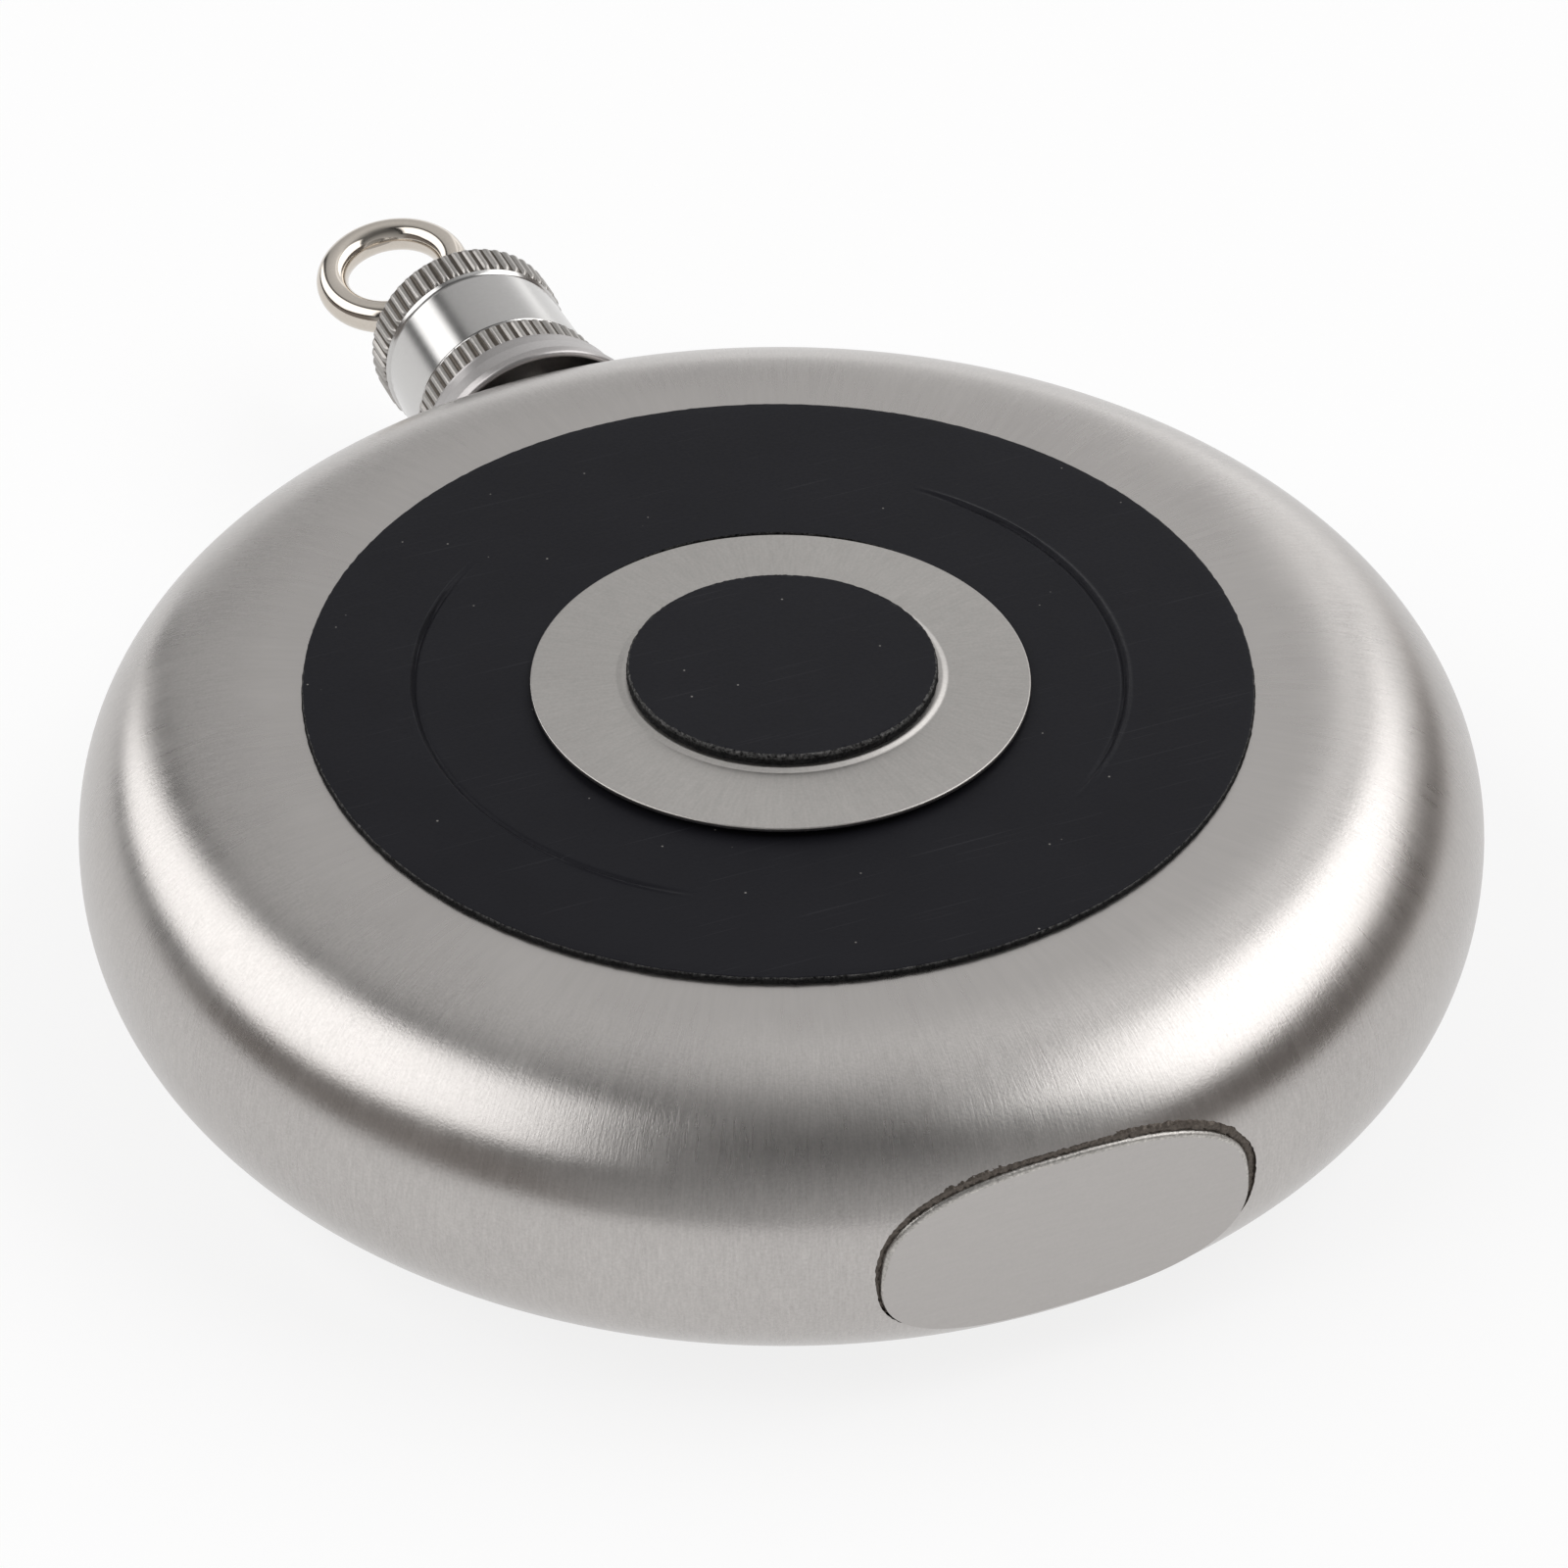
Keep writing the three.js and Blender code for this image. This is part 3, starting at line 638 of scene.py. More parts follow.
# The knurl's grooves: a dark colour of painted shade, for the shade that falls in them
KNURL_GROOVE_SHADE = brushed_metal(
    "cap_knurl_groove_shade", (0.15, 0.13, 0.112), (0.05, 0.042, 0.035), (0.35, 0.5), 0.006, 0.0, 0.3, 0.3
)
COLLAR_SATIN = brushed_metal(
    "collar_satin", (0.46, 0.44, 0.435), (0.34, 0.326, 0.322), (0.28, 0.38), 0.004, 0.0, 0.3, 0.3
)
NICKEL = brushed_metal(
    "eye_nickel", (0.64, 0.59, 0.53), (0.56, 0.51, 0.45), (0.08, 0.15), 0.001, 0.0, 0.5, 0.5
)
# The weld bead: brown-grey weld, darkened towards black as painted shade in the seam
WELD_AND_SEAM_SHADE = brushed_metal("weld_bead_and_seam_shade", (0.22, 0.19, 0.165), (0.006, 0.005, 0.005), (0.4, 0.6), 0.05, 0.0, 0.2, 0.2)
# The plate's eased edge: a painted highlight in its light colour, painted shade in its dark serrations
GROUND_EDGE_HIGHLIGHT = brushed_metal(
    "ground_edge_highlight", (0.8, 0.77, 0.73), (0.08, 0.075, 0.07), (0.3, 0.45), 0.04, 0.0, 0.16, 0.3
)
LEATHERETTE = leatherette()
RING_EDGE = cut_edge("ring_edge", RING_FACE)
PAD_EDGE = cut_edge("pad_edge", PAD_TOP)
LINER = soft_plastic("liner_plastic", (0.026, 0.026, 0.027), (0.02, 0.02, 0.021), (0.35, 0.5), 0.01)
SILICONE = soft_plastic("seal_silicone", (0.68, 0.67, 0.62), (0.62, 0.6, 0.55), (0.5, 0.65), 0.008)


# Body shells

def edge_point(share):
    """A point of the drum's rounded edge above mid-height: its face at 0, the middle of its rim at 1."""
    angle = math.pi / 2 * share
    out = math.sin(angle) ** (2 / EDGE_POWER)
    up = math.cos(angle) ** (2 / EDGE_POWER) if share < 1 else 0.0
    return FACE_RADIUS + EDGE_WIDTH * out, MID_HEIGHT * up


def shell_outline(hole):
    """Half of the drum as a closed outline above mid-height, with a round hole in its face."""
    outer = [edge_point(i / EDGE_STEPS) for i in range(EDGE_STEPS + 1)]
    narrow = 1 - SHELL_WALL / EDGE_WIDTH
    low = 1 - SHELL_WALL / MID_HEIGHT
    inner = [(FACE_RADIUS + (r - FACE_RADIUS) * narrow, z * low) for r, z in outer[::-INNER_STRIDE]]
    face = [(hole + (FACE_RADIUS - hole) * i / FACE_ROWS, MID_HEIGHT) for i in range(FACE_ROWS)]
    return face + outer + inner + [(hole, MID_HEIGHT - SHELL_WALL)]


def on_drum(point):
    """The drum's exact normal at a point of its outer skin, or None for a point off the skin."""
    radius = math.hypot(point.x, point.y)
    height = point.z - MID_HEIGHT
    out = max(0.0, radius - FACE_RADIUS) / EDGE_WIDTH
    up = abs(height) / MID_HEIGHT
    off_skin = abs((out ** EDGE_POWER + up ** EDGE_POWER) ** (1 / EDGE_POWER) - 1)
    if off_skin > SKIN_TOLERANCE / MID_HEIGHT:
        return None
    slope_out = out ** (EDGE_POWER - 1) / EDGE_WIDTH
    slope_up = math.copysign(up ** (EDGE_POWER - 1) / MID_HEIGHT, height)
    if radius == 0:
        return Vector((0, 0, math.copysign(1, height)))
    return Vector((slope_out * point.x / radius, slope_out * point.y / radius, slope_up)).normalized()


def foot_outline(grow):
    """The foot's outline as (x, height) points, each moved out by what grow gives for it."""
    oval = []
    for i in range(FOOT_STEPS):
        angle = TURN * i / FOOT_STEPS
        across = abs(2 * math.cos(angle) / FOOT_LENGTH) ** FOOT_POWER
        up = abs(2 * math.sin(angle) / FOOT_WIDTH) ** FOOT_POWER
        reach = (across + up) ** (-1 / FOOT_POWER)
        oval.append(Vector((reach * math.cos(angle), reach * math.sin(angle))))
    grown = []
    for i, here in enumerate(oval):
        along = oval[(i + 1) % FOOT_STEPS] - oval[i - 1]
        away = Vector((along.y, -along.x)).normalized()
        grown.append(here + away * grow(here) + FOOT_SHIFT)
    return grown


def lofted(rings, capped=True):
    """A closed mesh through rings of (x, y, z) points, capped at both ends or closed into a loop."""
    bm = bmesh.new()
    grain = bm.loops.layers.uv.new("grain")
    loops = [[bm.verts.new(point) for point in ring] for ring in rings]
    following = loops[1:] if capped else loops[1:] + loops[:1]
    for low, high in zip(loops, following):
        for k in range(len(low)):
            j = (k + 1) % len(low)
            bm.faces.new((low[k], low[j], high[j], high[k])).smooth = True
    if capped:
        bm.faces.new(loops[0])
        bm.faces.new(loops[-1])
    bmesh.ops.recalc_face_normals(bm, faces=bm.faces)
    for face in bm.faces:
        for loop in face.loops:
            loop[grain].uv = (loop.vert.co.z, loop.vert.co.x)
    return bm


def seam_share(here):
    """How open the foot's seam is at a point of its outline: least at the bottom, full along the top."""
    rise = 0.5 + here.y / FOOT_WIDTH
    return min(1.0, max(SEAM_LEAST, rise / SEAM_RISE) ** 2)


def window_gap(here):
    """Gap of the foot's seam at a point of its outline, with the burr of the cut."""
    burr = noise.noise(Vector((here.x, here.y, 0)) / BURR_PITCH)
    gap = FOOT_SEAM_BOTTOM + (FOOT_SEAM_TOP - FOOT_SEAM_BOTTOM) * seam_share(here)
    return gap * (1 + BURR_SHARE * burr)


def foot_window():
    """The cutter for the foot's opening in the shells."""
    oval = foot_outline(window_gap)
    return lofted([
        [(p.x, -BODY_RADIUS - WINDOW_START, MID_HEIGHT + p.y) for p in oval],
        [(p.x, -BODY_RADIUS + WINDOW_DEPTH, MID_HEIGHT + p.y) for p in oval],
    ])


def neck_hole():
    """The cutter for the spout's hole in the shells."""
    radius = SPOUT_RADIUS + NECK_SEAM
    foot = SPOUT_FOOT - EDGE_WIDTH / 2
    outline = [(0, foot), (radius, foot), (radius, COLLAR_TOP), (0, COLLAR_TOP)]
    return along_neck(turned(outline, NECK_SEGMENTS))


def set_exact_normals(made):
    """Gives the outer skin the drum's exact normals, so that the cuts leave no mark in its shading."""
    mesh = made.data
    normals = []
    for face in mesh.polygons:
        exact = [on_drum(mesh.vertices[i].co / MM) for i in face.vertices]
        skin = all(n is not None and n.dot(face.normal) > SKIN_FACING for n in exact)
        normals.extend(exact if skin else [Vector((0, 0, 0))] * len(exact))
    mesh.normals_split_custom_set(normals)


def shell(name, node_name, hole, upper):
    """One pressed half of the body, opened for the foot and the spout."""
    bm = turned(shell_outline(hole), BODY_SEGMENTS)
    if not upper:
        bm.transform(Matrix.Scale(-1, 4, (0, 0, 1)))
        bmesh.ops.recalc_face_normals(bm, faces=bm.faces)
    bm.transform(Matrix.Translation((0, 0, MID_HEIGHT)))
    opened = combined(bm, [foot_window(), neck_hole()], "DIFFERENCE")
    made = piece(name, opened, "flask", [node_name], [SHELL_STEEL], weighted=False)
    set_exact_normals(made)


shell("pressed_front", "front_shell", WELL_RADIUS, True)
shell("pressed_rear", "rear_shell", 0, False)


def plate_grow(here):
    """How far the plate reaches past its outline, so that it meets the skin flush at the bottom."""
    return FOOT_FLUSH * (1 - seam_share(here))


def foot_plate():
    """The oval plate; its eased edge is painted much lighter as a highlight, its serrations in light and dark
    as painted highlight and shade.
    """
    back = (0, FOOT_THICKNESS / FOOT_EASE)
    rings = []
    for inset, depth in (*FOOT_EDGE_ROWS, back):
        oval = foot_outline(lambda here, inset=inset: plate_grow(here) - inset * FOOT_EASE * seam_share(here))
        rings.append([(p.x, depth * FOOT_EASE - FOOT_PLANE, MID_HEIGHT + p.y) for p in oval])
    bm = lofted(rings)
    front, side = FOOT_EDGE_FACING
    # Faces of the eased edge take the painted highlight and shade
    for face in bm.faces:
        if front < face.normal.y < side:
            face.material_index = 1
    piece("oval_foot", bm, "flask", ["foot_plate"], [PLATE_STEEL, GROUND_EDGE_HIGHLIGHT])


def weld_bead_and_seam_shade():
    """A rough bead that fills the seam of the foot plate, a little below the skin; its brown-grey weld colour
    is darkened towards black as painted shade in the seam.
    """
    inner = foot_outline(lambda here: -BEAD_OVERLAP)
    outer = foot_outline(lambda here: window_gap(here) + BEAD_OVERLAP)
    rings = []
    for across, depth in BEAD_ROWS:
        ring = []
        for near, far in zip(inner, outer):
            place = near.lerp(far, across)
            lump = BEAD_ROUGHNESS * noise.noise(Vector((place.x, depth, place.y)) / BEAD_PITCH)
            ring.append((place.x, depth + lump - FOOT_PLANE, MID_HEIGHT + place.y))
        rings.append(ring)
    piece("foot_weld", lofted(rings, capped=False), "flask", [], [WELD_AND_SEAM_SHADE])


foot_plate()
weld_bead_and_seam_shade()


# Leatherette ring and pad

def crease_height(x, y):
    """Height of the crease at a point of the ring's face: below 0 in the pressed line, above 0 on its lip."""
    place = Vector((x, y)) - CREASE_CENTRE
    angle = math.degrees(math.atan2(place.y, place.x))
    off = (place.length - CREASE_RADIUS) / CREASE_WIDTH
    strength = 0.0
    for middle, half in CREASE_ARCS:
        away = abs((angle - middle + 180) % 360 - 180)
        strength = max(strength, min(1.0, max(0.0, (half - away) / CREASE_FADE)))
    lip = CREASE_LIP * math.exp(-(off - CREASE_LIP_OFF) ** 2)
    return strength * CREASE_DEPTH * (lip - math.exp(-off ** 2))


def fray(bm):
    """Roughens the cut edge of a leatherette piece and gives it its own finish."""
    for vert in bm.verts:
        out = Vector((vert.co.x, vert.co.y, 0))
        flat = all(abs(face.normal.z) > FRAY_FLATNESS for face in vert.link_faces)
        if flat or out.length < PAD_RADIUS - FRAY_INSET:
            continue
        tuft = noise.noise(vert.co * FRAY_BROAD) + FRAY_FINE_SHARE * noise.noise(vert.co * FRAY_FINE)
        vert.co += out.normalized() * FRAY_DEPTH * tuft
    for face in bm.faces:
        if abs(face.normal.z) < CUT_FLATNESS:
            face.material_index = 1


def face_ring():
    """The glued ring, with its frayed edges and its crease."""
    top = RING_FACE
    outline = [(RING_INNER, BODY_THICKNESS), (RING_OUTER, BODY_THICKNESS)]
    for i in range(1, RING_ROWS + 1):
        outline.append((RING_OUTER - RING_SLANT * i, BODY_THICKNESS + RING_STEP * i))
    outline += [(RING_OUTER - inset, top - drop) for inset, drop in RING_ROUND]
    outline += [(CREASE_RADIUS + CREASE_STEP * i, top) for i in CREASE_ROWS]
    outline += [(RING_MIDDLE, top), (RING_INNER, top)]
    bm = turned(outline, 2 * BODY_SEGMENTS)
    fray(bm)
    for vert in bm.verts:
        if vert.co.z > top - TOP_TOLERANCE:
            vert.co.z += crease_height(vert.co.x, vert.co.y)
    bm.transform(Matrix.Translation(RING_SHIFT))
    piece("ring_leatherette", bm, "flask", ["face_ring"], [LEATHERETTE, RING_EDGE])


def lid_pad():
    """The disc on the lid's raised middle."""
    outline = [(0, EMBOSS_TOP), (PAD_RADIUS, EMBOSS_TOP)]
    for i in range(1, PAD_ROWS):
        outline.append((PAD_RADIUS - PAD_SLANT * i, EMBOSS_TOP + PAD_THICKNESS * i / PAD_ROWS))
    outline += [(PAD_RADIUS - inset, PAD_TOP) for inset in PAD_ROUND]
    outline.append((0, PAD_TOP))
    bm = turned(outline, 2 * BODY_SEGMENTS)
    fray(bm)
    bm.transform(LID_PLACE @ Matrix.Translation(EMBOSS_SHIFT))
    piece("pad_leatherette", bm, "lid", ["lid_pad"], [LEATHERETTE, PAD_EDGE])


face_ring()
lid_pad()


# Well, cup and lid

def plain_turned(name, corners, segments, body, nodes, material, place=None):
    """A turned piece of one finish, from eased corners."""
    bm = turned(eased(corners), segments)
    if place:
        bm.transform(place)
    piece(name, bm, body, nodes, [material])


plain_turned("well_pan", [
    (0, WELL_FLOOR - WELL_WALL, 0),
    (WELL_RADIUS + WELL_WALL, WELL_FLOOR - WELL_WALL, 0.8),
    (WELL_RADIUS + WELL_WALL, WELL_TOP - WELL_WALL, 0.2),
    (WELL_RADIUS + WELL_FLANGE, WELL_TOP - WELL_WALL, 0.1),
    (WELL_RADIUS + WELL_FLANGE, WELL_TOP, 0.1),
    (WELL_RADIUS, WELL_TOP, 0.3),
    (WELL_RADIUS, WELL_FLOOR, 0.3),
    (0, WELL_FLOOR, 0),
], CUP_SEGMENTS, "flask", ["cup_well"], CUP_STEEL)

for ring_name, foot in CUP_RING_FEET.items():
    head = foot + CUP_TAPER * CUP_RING_HEIGHT
    plain_turned(ring_name.replace("cup_", "drawn_"), [
        (foot - CUP_WALL, WELL_FLOOR, 0.1),
        (foot, WELL_FLOOR, 0.1),
        (head, WELL_FLOOR + CUP_RING_HEIGHT, 0.2),
        (head - CUP_WALL, WELL_FLOOR + CUP_RING_HEIGHT, 0.2),
    ], CUP_SEGMENTS, CUP_RING_BODIES[ring_name], [ring_name], CUP_STEEL)

cup_mouth = WELL_FLOOR + CUP_RIM_HEIGHT
mouth_radius = CUP_RIM_FOOT + CUP_TAPER * CUP_RIM_HEIGHT
plain_turned("drawn_rim_ring", [
    (CUP_RIM_FOOT - CUP_WALL, WELL_FLOOR, 0.1),
    (CUP_RIM_FOOT, WELL_FLOOR, 0.1),
    (mouth_radius - CUP_TAPER, cup_mouth - 2 * CUP_BEAD, 0.1),
    (mouth_radius + CUP_BEAD, cup_mouth - 2 * CUP_BEAD, 0.45),
    (mouth_radius + CUP_BEAD, cup_mouth, 0.45),
    (mouth_radius - CUP_WALL, cup_mouth, 0.2),
], CUP_SEGMENTS, "cup_rim", ["cup_rim_ring"], CUP_STEEL)

floor_radius = CUP_RING_FEET["cup_base_ring"] - CUP_WALL - CUP_FLOOR_GAP
plain_turned("drawn_floor", [
    (0, WELL_FLOOR, 0),
    (floor_radius, WELL_FLOOR, 0.1),
    (floor_radius, WELL_FLOOR + CUP_FLOOR_THICKNESS, 0.15),
    (0, WELL_FLOOR + CUP_FLOOR_THICKNESS, 0),
], CUP_SEGMENTS, "cup_base", ["cup_floor"], CUP_STEEL)


def lid():
    """The lid's plate with its raised middle, and the plug that stands in the mouth of the cup."""
    plate = turned(eased([
        (0, EMBOSS_TOP - LID_PLATE, 0),
        (EMBOSS_TOP_RADIUS, EMBOSS_TOP - LID_PLATE, 0.3),
        (EMBOSS_RADIUS, RING_TOP, 0.3),
        (LID_RADIUS, RING_TOP, 0.08),
        (LID_RADIUS, LID_TOP, 0.14),
        (EMBOSS_RADIUS, LID_TOP, 0.6),
        (EMBOSS_TOP_RADIUS, EMBOSS_TOP, 0.6),
        (0, EMBOSS_TOP, 0),
    ]), BODY_SEGMENTS)
    inner, outer = EMBOSS_BLEND
    for vert in plate.verts:
        share = (outer - math.hypot(vert.co.x, vert.co.y)) / (outer - inner)
        vert.co += EMBOSS_SHIFT * min(1.0, max(0.0, share))
    plate.transform(LID_PLACE)
    inside = RING_TOP + LID_PLATE / 2
    plug = turned(eased([
        (PLUG_RADIUS - PLUG_WALL, inside, 0),
        (PLUG_RADIUS - PLUG_WALL, PLUG_BOTTOM, 0.15),
        (PLUG_RADIUS, PLUG_BOTTOM, 0.15),
        (PLUG_RADIUS, inside, 0),
    ]), CUP_SEGMENTS)
    plug.transform(Matrix.Translation(-LID_SHIFT) @ LID_PLACE)
    whole = combined(plate, [plug], "UNION")
    piece("lid_plate", whole, "lid", ["cup_lid"], [LID_STEEL])


lid()


# Neck, cap and eye

def thread_ridge(root, crest):
    """A right-hand ridge that fades in and out at its ends, from a root radius to a crest radius."""
    steps = int(THREAD_TURNS * THREAD_STEPS)
    section = (
        (root, -THREAD_ROOT_HALF),
        (crest, -THREAD_CREST_HALF),
        (crest, THREAD_CREST_HALF),
        (root, THREAD_ROOT_HALF),
    )
    rings = []
    for i in range(steps + 1):
        share = i / steps
        fade = min(1.0, THREAD_FADE * min(share, 1 - share) + THREAD_END)
        angle = TURN * THREAD_TURNS * share
        rise = THREAD_PITCH * THREAD_TURNS * share
        ring = []
        for radius, height in section:
            reach = root + (radius - root) * fade
            ring.append((reach * math.cos(angle), reach * math.sin(angle), rise + height))
        rings.append(ring)
    return lofted(rings)


def spout():
    """The tube with its outside thread."""
    tube = turned(eased([
        (SPOUT_BORE, SPOUT_FOOT, 0.1),
        (SPOUT_RADIUS, SPOUT_FOOT, 0.1),
        (SPOUT_RADIUS, SPOUT_TOP, 0.4),
        (SPOUT_BORE, SPOUT_TOP, 0.4),
    ]), NECK_SEGMENTS)
    ridge = thread_ridge((SPOUT_RADIUS + SPOUT_BORE) / 2, SPOUT_RADIUS + THREAD_DEPTH)
    ridge.transform(Matrix.Translation((0, 0, THREAD_START)))
    joined = combined(tube, [ridge], "UNION")
    piece("spout_threaded", along_neck(joined), "flask", ["neck_spout"], [CUP_STEEL])


def liner():
    """The cap's sleeve with its inside thread."""
    sleeve = turned(eased([
        (0, LINER_CEILING, 0),
        (LINER_BORE, LINER_CEILING, 0.2),
        (LINER_BORE, LINER_FOOT, 0.2),
        (LINER_RADIUS, LINER_FOOT, 0.2),
        (LINER_RADIUS, LINER_TOP, 0.2),
        (0, LINER_TOP, 0),
    ]), NECK_SEGMENTS)
    ridge = thread_ridge((LINER_BORE + LINER_RADIUS) / 2, LINER_BORE - THREAD_DEPTH)
    ridge.transform(Matrix.Translation((0, 0, THREAD_START - THREAD_PITCH / 2)))
    joined = combined(sleeve, [ridge], "UNION")
    piece("liner_moulded", along_neck(joined), "cap", ["cap_liner"], [LINER])


def cap_outline():
    """The cap's closed outline, and the depth of the knurling at its points."""
    def band(low, high, radius):
        """Rows of a knurled band that ease into its core at both ends."""
        upper_ends = [(1 - share, depth) for share, depth in reversed(KNURL_ENDS)]
        core = radius - KNURL_DEPTH
        rows = []
        for share, depth in (*KNURL_ENDS, *upper_ends):
            rows.append((core + KNURL_DEPTH * depth, low + (high - low) * share, KNURL_DEPTH * depth))
        return rows

    rows = [(CAP_CAVITY, CAP_BOTTOM, 0), (LOW_BAND_RADIUS - KNURL_DEPTH - CAP_FOOT_INSET, CAP_BOTTOM, 0)]
    rows += band(CAP_BOTTOM + CAP_FOOT_RISE, LOW_BAND_TOP, LOW_BAND_RADIUS)
    rows += [(CAP_WAIST_FOOT + out, LOW_BAND_TOP + rise, 0) for rise, out in WAIST_FOOT_ROWS]
    bevel_foot = TOP_BAND_FOOT - CAP_BEVEL
    rows += [(CAP_WAIST + out, bevel_foot + rise, 0) for rise, out in WAIST_HEAD_ROWS]
    rows += band(TOP_BAND_FOOT, TOP_BAND_TOP, TOP_BAND_RADIUS)
    rows += [(TOP_BAND_RADIUS - KNURL_DEPTH - inset, CAP_TOP - drop, 0) for inset, drop in CAP_ROUND]
    rows += [(SHANK_HOLE, CAP_TOP, 0), (SHANK_HOLE, CAP_CEILING, 0), (CAP_CAVITY, CAP_CEILING, 0)]
    outline = [(radius, height) for radius, height, _ in rows]
    depths = {i: depth for i, (_, _, depth) in enumerate(rows) if depth}
    return outline, depths


def cap_shell():
    """The turned cap; its knurled bands have a finish of their own, and their grooves a dark colour of
    painted shade.
    """
    outline, depths = cap_outline()
    bm = turned(outline, KNURL_TEETH * KNURL_SAMPLES, depths)
    for face in bm.faces:
        middle = face.calc_center_median()
        banded = CAP_BOTTOM < middle.z < LOW_BAND_TOP or TOP_BAND_FOOT < middle.z < TOP_BAND_TOP
        if banded and math.hypot(middle.x, middle.y) > CAP_WAIST:
            # Faces in the knurl's grooves take the dark colour of painted shade
            groove = tooth(math.atan2(middle.y, middle.x)) < KNURL_GROOVE
            face.material_index = 2 if groove else 1
    finishes_and_groove_shade = [CHROME, KNURL, KNURL_GROOVE_SHADE]
    piece("cap_turned", along_neck(bm), "cap", ["cap_shell"], finishes_and_groove_shade, CAP_CREASE)


def eye():
    """The wire eye: shank, shoulder, leaning stem and loop, joined."""
    shank = turned(eased([
        (0, SHANK_FOOT, 0),
        (SHANK_RADIUS, SHANK_FOOT, 0.2),
        (SHANK_RADIUS, SHOULDER_BOTTOM, 0.1),
        (SHOULDER_RADIUS, SHOULDER_BOTTOM, 0.2),
        (SHOULDER_RADIUS, SHOULDER_TOP, 0.3),
        (0, SHOULDER_TOP, 0),
    ]), EYE_SEGMENTS)
    reach = EYE_REACH - EYE_RADIUS
    stem = turned(eased([
        (0, -STEM_SINK, 0),
        (SHANK_RADIUS + STEM_FLARE, -STEM_SINK, 0.2),
        (SHANK_RADIUS, STEM_FLARE_TOP, 0.8),
        (SHANK_RADIUS, reach, 0.3),
        (0, reach, 0),
    ]), EYE_SEGMENTS)
    turns = [TURN * i / WIRE_STEPS for i in range(WIRE_STEPS)]
    wire = [(EYE_RADIUS + EYE_WIRE * math.cos(turn), EYE_WIRE * math.sin(turn)) for turn in turns]
    loop = turned(wire, LOOP_SEGMENTS)
    loop.transform(Matrix.Translation((0, 0, EYE_REACH)) @ Matrix.Rotation(math.pi / 2, 4, "X"))
    lean = Matrix.Rotation(-EYE_LEAN, 4, "Y") @ Matrix.Rotation(EYE_TIP, 4, "X")
    for part in (stem, loop):
        part.transform(Matrix.Translation((0, 0, SHOULDER_TOP)) @ lean)
    whole = combined(shank, [stem, loop], "UNION")
    whole.transform(Matrix.Rotation(-EYE_ROLL, 4, "Z"))
    piece("eye_wire", along_neck(whole), "eye", ["cap_eye"], [NICKEL])


spout()
liner()
cap_shell()
eye()


def drum(gap):
    """The body's outside as a closed mesh, grown by a gap."""
    half = MID_HEIGHT + gap
    upper = []
    for i in range(EDGE_STEPS + 1):
        radius, rise = edge_point(1 - i / EDGE_STEPS)
        out = (radius - FACE_RADIUS) / EDGE_WIDTH
        upper.append((FACE_RADIUS + (EDGE_WIDTH + gap) * out, half * rise / MID_HEIGHT))
    lower = [(radius, -rise) for radius, rise in upper[:0:-1]]
    bm = turned([(0, -half)] + lower + upper + [(0, half)], BODY_SEGMENTS)
    bm.transform(Matrix.Translation((0, 0, MID_HEIGHT)))
    return bm


def collar():
    """The flared collar, cut to fit the body's rim."""
    blank = along_neck(turned(eased([
        (SPOUT_RADIUS + NECK_SEAM, COLLAR_FLOOR, 0.1),
        (COLLAR_RADIUS - 2 * COLLAR_WALL, COLLAR_FLOOR, 0.3),
        (COLLAR_RADIUS - COLLAR_WALL, COLLAR_LIP, 0.3),
        (COLLAR_RADIUS - COLLAR_WALL, COLLAR_FOOT, 0.25),
        (COLLAR_RADIUS, COLLAR_FOOT, 0.4),
        (COLLAR_RADIUS, COLLAR_FOOT + COLLAR_BASE, 0.4),
        (COLLAR_TOP_RADIUS + COLLAR_FLARE, COLLAR_TOP - COLLAR_FLARE_DROP, 2.0),
        (COLLAR_TOP_RADIUS - COLLAR_EASE, COLLAR_TOP - COLLAR_EASE_DROP, 0.5),
        (COLLAR_TOP_RADIUS - COLLAR_EASE, COLLAR_TOP, 0.1),
        (SPOUT_RADIUS + NECK_SEAM, COLLAR_TOP, 0.1),
    ]), NECK_SEGMENTS))
    cut = combined(blank, [drum(NECK_SEAM)], "DIFFERENCE")
    piece("collar_turned", cut, "flask", ["neck_collar"], [COLLAR_SATIN])


collar()

plain_turned("gasket_disc", [
    (0, GASKET_BOTTOM, 0),
    (GASKET_RADIUS, GASKET_BOTTOM, 0.3),
    (GASKET_RADIUS, GASKET_TOP, 0.3),
    (0, GASKET_TOP, 0),
], NECK_SEGMENTS, "cap_seal", ["cap_gasket"], SILICONE, NECK)

plain_turned("washer_flat", [
    (WASHER_BORE, WASHER_BOTTOM, 0.1),
    (WASHER_RADIUS, WASHER_BOTTOM, 0.15),
    (WASHER_RADIUS, WASHER_TOP, 0.15),
    (WASHER_BORE, WASHER_TOP, 0.1),
], EYE_SEGMENTS, "eye", ["eye_washer"], CUP_STEEL, NECK)


# Studio: a white floor under a pale sweep, with two soft boxes, a dimmer wing and two dark flags

FLOOR_WHITE = 0.8
FLOOR_SIZE = 3000.0
FLOOR_CELLS = 8
FLOOR_ROUGH = 0.9
FLOOR_DARK = (0.92, 0.92, 0.92)
FLOOR_LIGHT = (0.94, 0.94, 0.94)
FLOOR_NOISE = 3.0
EDGE_SOFTNESS = math.sin(math.radians(3))
FLAG_SOFTNESS = 2 * EDGE_SOFTNESS
HOOD_WIDTH = math.sin(math.radians(12))
# Light of the sweep by the angle (degrees) from the far horizon over the top to the camera's side
SWEEP = (
    (0, 1.4), (8, 0.77), (20, 0.67), (32, 0.7), (46, 0.74), (60, 0.81), (76, 0.67), (90, 0.35), (104, 0.16),
    (120, 0.13), (145, 0.36), (180, 0.61),
)
SWEEP_LEAN = 0.5
